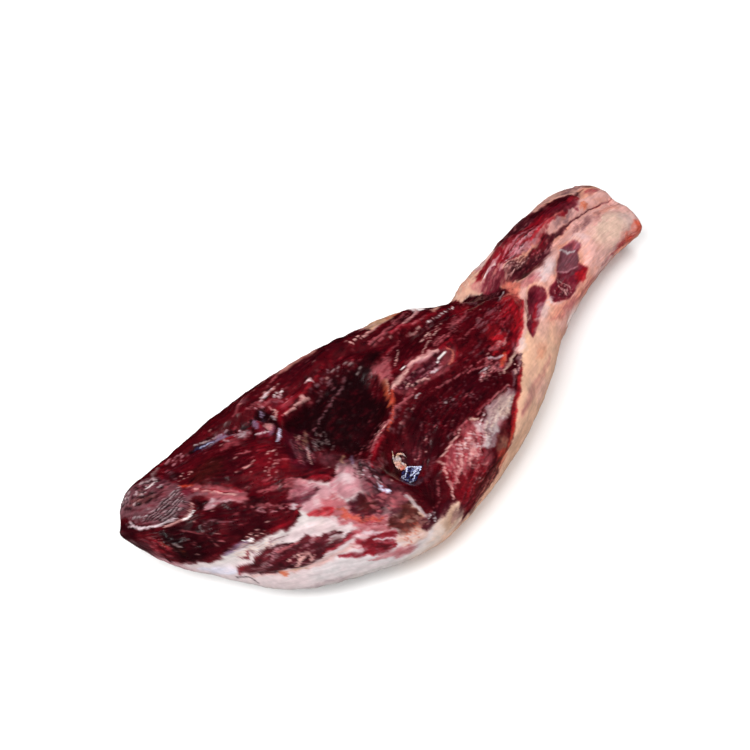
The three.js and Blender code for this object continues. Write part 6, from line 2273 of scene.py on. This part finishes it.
@dataclass
class Shelf:
    """The ham's surface, where the small pieces lie.

    Its points are in millimetres, and x and q are their places in the plan.
    """

    x: Array
    q: Array
    points: Array
    reach: float = 40.0
    neighbours: int = 6

    def part(self, middle: Place) -> "Shelf":
        """The part of it round one place of the plan."""
        near = np.hypot(self.x - middle[0], self.q - middle[1]) < self.reach
        return Shelf(self.x[near], self.q[near], self.points[near])

    def at(self, plan: Array) -> Array:
        """Finds where some places of the plan are in space.

        Args:
            plan: One row of x and q for each place.

        Returns:
            One row of three coordinates for each place, in millimetres.
        """
        found = []
        for x, q in plan:
            away = (self.x - x) ** 2 + (self.q - q) ** 2 + 0.2
            near = np.argpartition(away, self.neighbours)[: self.neighbours]
            share = 1 / away[near, None] ** 2
            found.append((self.points[near] * share).sum(axis=0) / share.sum())
        return np.array(found)

    def way_out(self, middle: Place, gap: float = 6.0) -> Array:
        """Works out which way the surface faces at one place of the plan.

        Args:
            middle: The place.
            gap: How far from it the surface is read on each side.

        Returns:
            The unit direction out of the surface.
        """
        x, q = middle
        ends = self.at(np.array([(x + gap, q), (x - gap, q), (x, q + gap), (x, q - gap)]))
        way = np.cross(ends[0] - ends[1], ends[2] - ends[3])
        return way / np.linalg.norm(way)

    def lay(self, mesh: bpy.types.Mesh, plan: Array, height: Array, middle: Place) -> None:
        """Moves a mesh's points to places of the plan, at heights over the surface there."""
        near = self.part(middle)
        put(mesh, near.at(plan) + near.way_out(middle) * height[:, None])


@dataclass(frozen=True)
class Lobe:
    """One lobe of a scrap: a path over the surface, with sizes and tones from start to end."""

    path: Path
    half: tuple[float, ...]
    thick: tuple[float, ...]
    rise: tuple[float, ...]
    tones: tuple[Ink, ...]


def along(values: tuple[float, ...], share: Array) -> Array:
    """Values spread evenly from start to end, at some shares of the way."""
    return np.interp(share, np.linspace(0, 1, len(values)), values)


def flat_noise_places(plan: Array, size: float) -> Array:
    """Places of the plan as a noise reads them, for lumps of one size."""
    return np.column_stack([plan / size, np.zeros(len(plan))])


@dataclass
class SinewScrap:
    """The small curled scrap of sinew that lies on the lean, with its orange end."""

    name: str = "sinew_scrap"
    middle: Place = (-85.0, -46.0)
    segments: int = 40
    rings: int = 64
    ragged: float = 0.3
    roundness: float = 0.3
    lump_size: float = 1.6
    uneven_tone: float = 0.35
    wet: float = 0.6
    first_seed: int = 40
    lobes: tuple[Lobe, ...] = (
        Lobe(((-82.0, -39.5), (-84.5, -43.0), (-87.0, -46.5), (-88.5, -50.5)),
             (2.6, 3.6, 3.0, 2.0), (1.4, 1.9, 1.8, 1.2), (1.2, 1.6, 1.6, 1.2),
             (Ink.TAN, Ink.STONE, Ink.BUFF, Ink.ROSE)),
        Lobe(((-83.2, -33.6), (-84.6, -36.6), (-86.6, -39.8), (-88.6, -43.5)),
             (0.3, 0.5, 0.8, 1.1), (0.3, 0.5, 0.7, 0.8), (1.4, 1.2, 1.4, 1.8),
             (Ink.STONE, Ink.TAN, Ink.STONE, Ink.TAN)),
        Lobe(((-83.0, -39.4), (-80.0, -40.6), (-78.0, -43.0), (-77.2, -45.8), (-77.4, -47.8)),
             (1.5, 1.2, 0.8, 0.5, 0.25), (1.0, 0.9, 0.7, 0.5, 0.25), (2.0, 2.2, 2.0, 1.2, 0.6),
             (Ink.TAN, Ink.BUFF, Ink.STONE, Ink.TAN)),
        Lobe(((-89.8, -46.5), (-87.6, -49.6), (-86.0, -53.0), (-84.8, -55.6)),
             (1.8, 2.6, 2.3, 1.0), (1.3, 1.9, 1.6, 0.8), (1.2, 1.8, 1.5, 0.8),
             (Ink.STONE, Ink.BUFF, Ink.CORAL, Ink.TAN)),
        Lobe(((-85.5, -46.5), (-83.4, -49.6), (-83.0, -53.0), (-83.6, -55.8)),
             (1.0, 1.2, 1.2, 0.6), (0.8, 1.1, 1.0, 0.5), (1.5, 1.5, 1.2, 0.6),
             (Ink.TAN, Ink.STONE, Ink.BUFF, Ink.TAN)),
    )

    def build(self, shelf: Shelf) -> bpy.types.Object:
        """Makes the scrap's lobes on the surface and joins them.

        Args:
            shelf: The ham's surface.

        Returns:
            The finished piece.
        """
        seeds = itertools.count(self.first_seed)
        made = [self.lobe(shelf, lobe, seed) for lobe, seed in zip(self.lobes, seeds)]
        bpy.ops.object.select_all(action="DESELECT")
        for piece in made:
            piece.select_set(True)
        bpy.context.view_layer.objects.active = made[0]
        bpy.ops.object.join()
        scrap = named(self.name)
        finish = MeatFinish("sinew", coat=0.35, dry_roughness=0.5, wet_roughness=0.3, bump=0.6)
        scrap.data.materials.append(finish.make())
        return scrap

    def lobe(self, shelf: Shelf, lobe: Lobe, seed: int) -> bpy.types.Object:
        """Makes one lobe from a ball.

        Args:
            shelf: The ham's surface.
            lobe: The lobe's path, sizes and tones.
            seed: The seed of its lumps.

        Returns:
            The lobe.
        """
        bpy.ops.object.select_all(action="DESELECT")
        bpy.ops.mesh.primitive_uv_sphere_add(segments=self.segments, ring_count=self.rings)
        ball = bpy.context.active_object
        mesh = ball.data
        unit = points_of(mesh)
        share = np.arccos(np.clip(unit[:, 2], -1, 1)) / math.pi
        turn = np.arctan2(unit[:, 1], unit[:, 0])
        size = np.clip(1 - unit[:, 2] ** 2, 0, 1) ** self.roundness
        line = spline(lobe.path)
        spot = share * (len(line) - 1)
        middle = on_line(line, spot)
        way = on_line(np.gradient(line, axis=0), spot)
        way /= np.linalg.norm(way, axis=1, keepdims=True)
        side = np.stack([-way[:, 1], way[:, 0]], -1)
        rough = Noise(seed).layered(np.column_stack([middle / self.lump_size, turn]), 3)
        size = size * (1 + self.ragged * rough)
        wide = along(lobe.half, share) * size * np.cos(turn)
        height = along(lobe.rise, share) + along(lobe.thick, share) * size * np.sin(turn)
        plan = middle + side * wide[:, None]
        shelf.lay(mesh, plan, height, self.middle)
        tones = np.array([ink.value.rgb() for ink in lobe.tones])
        rgb = np.stack([along(tuple(tones[:, k]), share) for k in range(3)], -1)
        rgb = np.clip(rgb * (1 + self.uneven_tone * rough)[:, None], 0, 1)
        dress(mesh, rgb, np.full(len(rgb), self.wet), plan)
        close_up()
        return ball


@dataclass
class ShinyFilm:
    """The small piece of wet film beside the scrap, whose tones are a painted reflection of a
    bluish light.
    """

    name: str = "shiny_film"
    middle: Place = (-84.0, -62.0)
    columns: int = 90
    rows: int = 56
    thickness: float = 0.35
    rise: float = 0.9
    crumple: float = 1.3
    fold_size: float = 3.2
    lowest: float = 0.35
    wet: float = 0.9
    sway: float = 0.9
    blotch_size: float = 2.4
    spot_size: float = 1.1
    reflection_area: float = 5.0
    reflection_strength: float = 0.8
    line_half: float = 0.55
    upper: Path = (
        (-89.6, -55.6), (-86.0, -54.8), (-82.4, -54.8), (-78.4, -58.4), (-74.6, -61.6),
        (-71.2, -64.4))
    lower: Path = (
        (-96.6, -62.6), (-95.0, -66.4), (-92.4, -70.6), (-86.6, -71.8), (-80.4, -69.2),
        (-74.0, -65.8))
    lines: tuple[Path, ...] = (
        ((-83.2, -55.6), (-85.6, -57.6), (-88.4, -59.8), (-92.2, -59.0), (-94.8, -60.8),
         (-94.0, -63.8), (-91.8, -66.4)),
        ((-85.0, -55.0), (-81.0, -56.0), (-77.0, -60.2), (-72.4, -64.2)),
        ((-73.0, -64.2), (-77.6, -66.2), (-83.0, -67.2), (-87.4, -69.2), (-92.6, -70.0)),
        ((-85.0, -64.4), (-82.0, -64.2), (-78.6, -63.6), (-76.4, -62.8)),
        ((-88.4, -60.0), (-90.6, -61.6), (-93.6, -62.4)),
    )
    reflection_spots: tuple[Place, ...] = ((-78.4, -61.8), (-76.0, -63.4), (-81.0, -63.2))

    def build(self, shelf: Shelf) -> bpy.types.Object:
        """Makes the film from a grid, drapes it over the surface and gives it a thickness.

        Args:
            shelf: The ham's surface.

        Returns:
            The finished piece.
        """
        bpy.ops.object.select_all(action="DESELECT")
        bpy.ops.mesh.primitive_grid_add(
            size=2.0, x_subdivisions=self.columns, y_subdivisions=self.rows
        )
        film = named(self.name)
        mesh = film.data
        share = (points_of(mesh)[:, :2] + 1) / 2
        upper, lower = spline(self.upper), spline(self.lower)
        spot = share[:, 0] * (len(upper) - 1)
        bottom = on_line(lower, spot)
        plan = bottom + (on_line(upper, spot) - bottom) * share[:, 1:]
        crumple = Noise(51).layered(flat_noise_places(plan, self.fold_size), 3)
        edge = np.minimum(share, 1 - share).min(axis=1)
        height = self.rise + self.crumple * crumple * smooth(edge * 6.0)
        shelf.lay(mesh, plan, np.maximum(height, self.lowest), self.middle)
        rgb = self.tones(plan, crumple)
        dress(mesh, rgb, np.full(len(rgb), self.wet), plan)
        solid = film.modifiers.new("thickness", "SOLIDIFY")
        solid.thickness = self.thickness * MM
        solid.offset = 0.0
        bpy.ops.object.modifier_apply(modifier=solid.name)
        close_up()
        finish = MeatFinish("film", coat=0.6, gloss=0.5, dry_roughness=0.4, wet_roughness=0.18)
        mesh.materials.append(finish.make())
        return film

    def tones(self, plan: Array, crumple: Array) -> Array:
        """Works out the tones, all a painted reflection of a bluish light: dark blue, with pale
        lines and brighter bluish spots.

        Args:
            plan: The place of each point in the plan.
            crumple: How far each point is folded up or down, from about -1 to 1.

        Returns:
            One row of three values for each point, as seen.
        """
        x, q = plan[:, 0] + self.sway * crumple, plan[:, 1] - self.sway * crumple
        swayed = np.column_stack([x, q])
        blotches = Noise(52).at(flat_noise_places(swayed, self.blotch_size))
        deep = smooth(0.6 + 1.6 * blotches)[:, None]
        rgb = Ink.NIGHT.value.rgb() * (1 - deep) + Ink.NAVY.value.rgb() * deep
        pale = Ink.FROST.value.rgb()
        spots = smooth(0.9 + 2.0 * Noise(53).at(flat_noise_places(swayed, self.spot_size)))
        for reflection_x, reflection_q in self.reflection_spots:
            near = np.exp(-(((x - reflection_x) ** 2 + (q - reflection_q) ** 2) / self.reflection_area))
            held = self.reflection_strength * (near * spots)[:, None]
            rgb = rgb * (1 - held) + pale * held
        for path in self.lines:
            distance, _, _ = nearest(spline(path), x, q)
            held = smooth(1.4 - distance / self.line_half)[:, None]
            rgb = rgb * (1 - held) + pale * held
        return rgb


@dataclass(frozen=True)
class Stand:
    """Where a lamp or the camera stands round the ham: two angles in degrees, and metres."""

    azimuth: float
    height: float
    distance: float

    def hold(self, thing: bpy.types.Object, aim: Array) -> None:
        """Adds a thing to the scene at this place, turned towards the aim.

        Args:
            thing: The lamp or the camera.
            aim: The place that it is turned to.
        """
        turn, tilt = math.radians(self.azimuth), math.radians(self.height)
        across = math.cos(tilt)
        way = np.array([math.sin(turn) * across, -math.cos(turn) * across, math.sin(tilt)])
        thing.location = aim + way * self.distance
        thing.rotation_euler = (math.pi / 2 - tilt, 0.0, turn)
        bpy.context.scene.collection.objects.link(thing)


@dataclass(frozen=True)
class Lamp:
    """One soft square light, aimed at the ham."""

    name: str
    stand: Stand
    size: float
    watts: float
    mirrored: bool = False

    def build(self, aim: Array) -> None:
        """Adds the light.

        Args:
            aim: The place that it shines on.
        """
        data = bpy.data.lights.new(self.name, "AREA")
        data.shape = "SQUARE"
        data.size = self.size
        data.energy = self.watts
        lamp = bpy.data.objects.new(self.name, data)
        lamp.visible_glossy = self.mirrored
        self.stand.hold(lamp, aim)


@dataclass
class Studio:
    """A pale floor, soft lights, and the camera at the photograph's angle."""

    view: Stand = Stand(-42.0, 55.0, 1.65)
    lens: float = 85.0
    nearest_seen: float = 0.05
    aim: tuple[float, float, float] = (-0.02147, 0.05446, 0.045)
    floor_size: float = 12.0
    floor_tone: float = 0.9
    floor_roughness: float = 0.9
    world: float = 0.25
    lamps: tuple[Lamp, ...] = (
        Lamp("key", Stand(-80, 58, 2.6), 1.3, 56),
        Lamp("top", Stand(40, 78, 2.8), 1.6, 38),
        Lamp("back", Stand(165, 40, 2.2), 0.7, 11),
        Lamp("near", Stand(-12, 32, 2.4), 1.2, 13),
        Lamp("spark", Stand(-110, 40, 2.4), 0.35, 4, True),
    )

    def build(self) -> None:
        """Adds the floor, the world, the lights and the camera."""
        self.lay_floor()
        self.light_world()
        aim = np.array(self.aim)
        for lamp in self.lamps:
            lamp.build(aim)
        data = bpy.data.cameras.new("camera")
        data.lens = self.lens
        data.clip_start = self.nearest_seen
        camera = bpy.data.objects.new("camera", data)
        self.view.hold(camera, aim)
        bpy.context.scene.camera = camera
        bpy.context.scene.view_settings.view_transform = "Standard"

    def lay_floor(self) -> None:
        """Adds the pale floor."""
        bpy.ops.object.select_all(action="DESELECT")
        bpy.ops.mesh.primitive_plane_add(size=self.floor_size)
        floor = bpy.context.active_object
        floor.name = "floor"
        paper = bpy.data.materials.new("pale_floor")
        paper.use_nodes = True
        shader = paper.node_tree.nodes["Principled BSDF"]
        tone = self.floor_tone
        shader.inputs["Base Color"].default_value = (tone, tone, tone, 1.0)
        shader.inputs["Roughness"].default_value = self.floor_roughness
        shader.inputs["Specular IOR Level"].default_value = 0.0
        floor.data.materials.append(paper)
        floor.visible_glossy = False

    def light_world(self) -> None:
        """Adds the even light that comes from all round."""
        world = bpy.data.worlds.new("studio")
        world.use_nodes = True
        back = world.node_tree.nodes["Background"]
        back.inputs["Color"].default_value = (1.0, 1.0, 1.0, 1.0)
        back.inputs["Strength"].default_value = self.world
        world.cycles_visibility.glossy = False
        bpy.context.scene.world = world


def main() -> None:
    """Builds the ham and the studio round it."""
    logging.basicConfig(level=logging.INFO, format="%(name)s: %(message)s")
    Studio().build()
    LOG.info("studio built")
    ham = HamBody(HamForm())
    body = ham.build()
    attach(body, "root")
    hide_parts("ham")
    LOG.info("%s: %d faces", body.name, len(body.data.polygons))
    for maker in (SinewScrap(), ShinyFilm()):
        piece = maker.build(ham.shelf)
        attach(piece, "root")
        LOG.info("%s: %d faces", piece.name, len(piece.data.polygons))


if __name__ == "__main__":
    main()
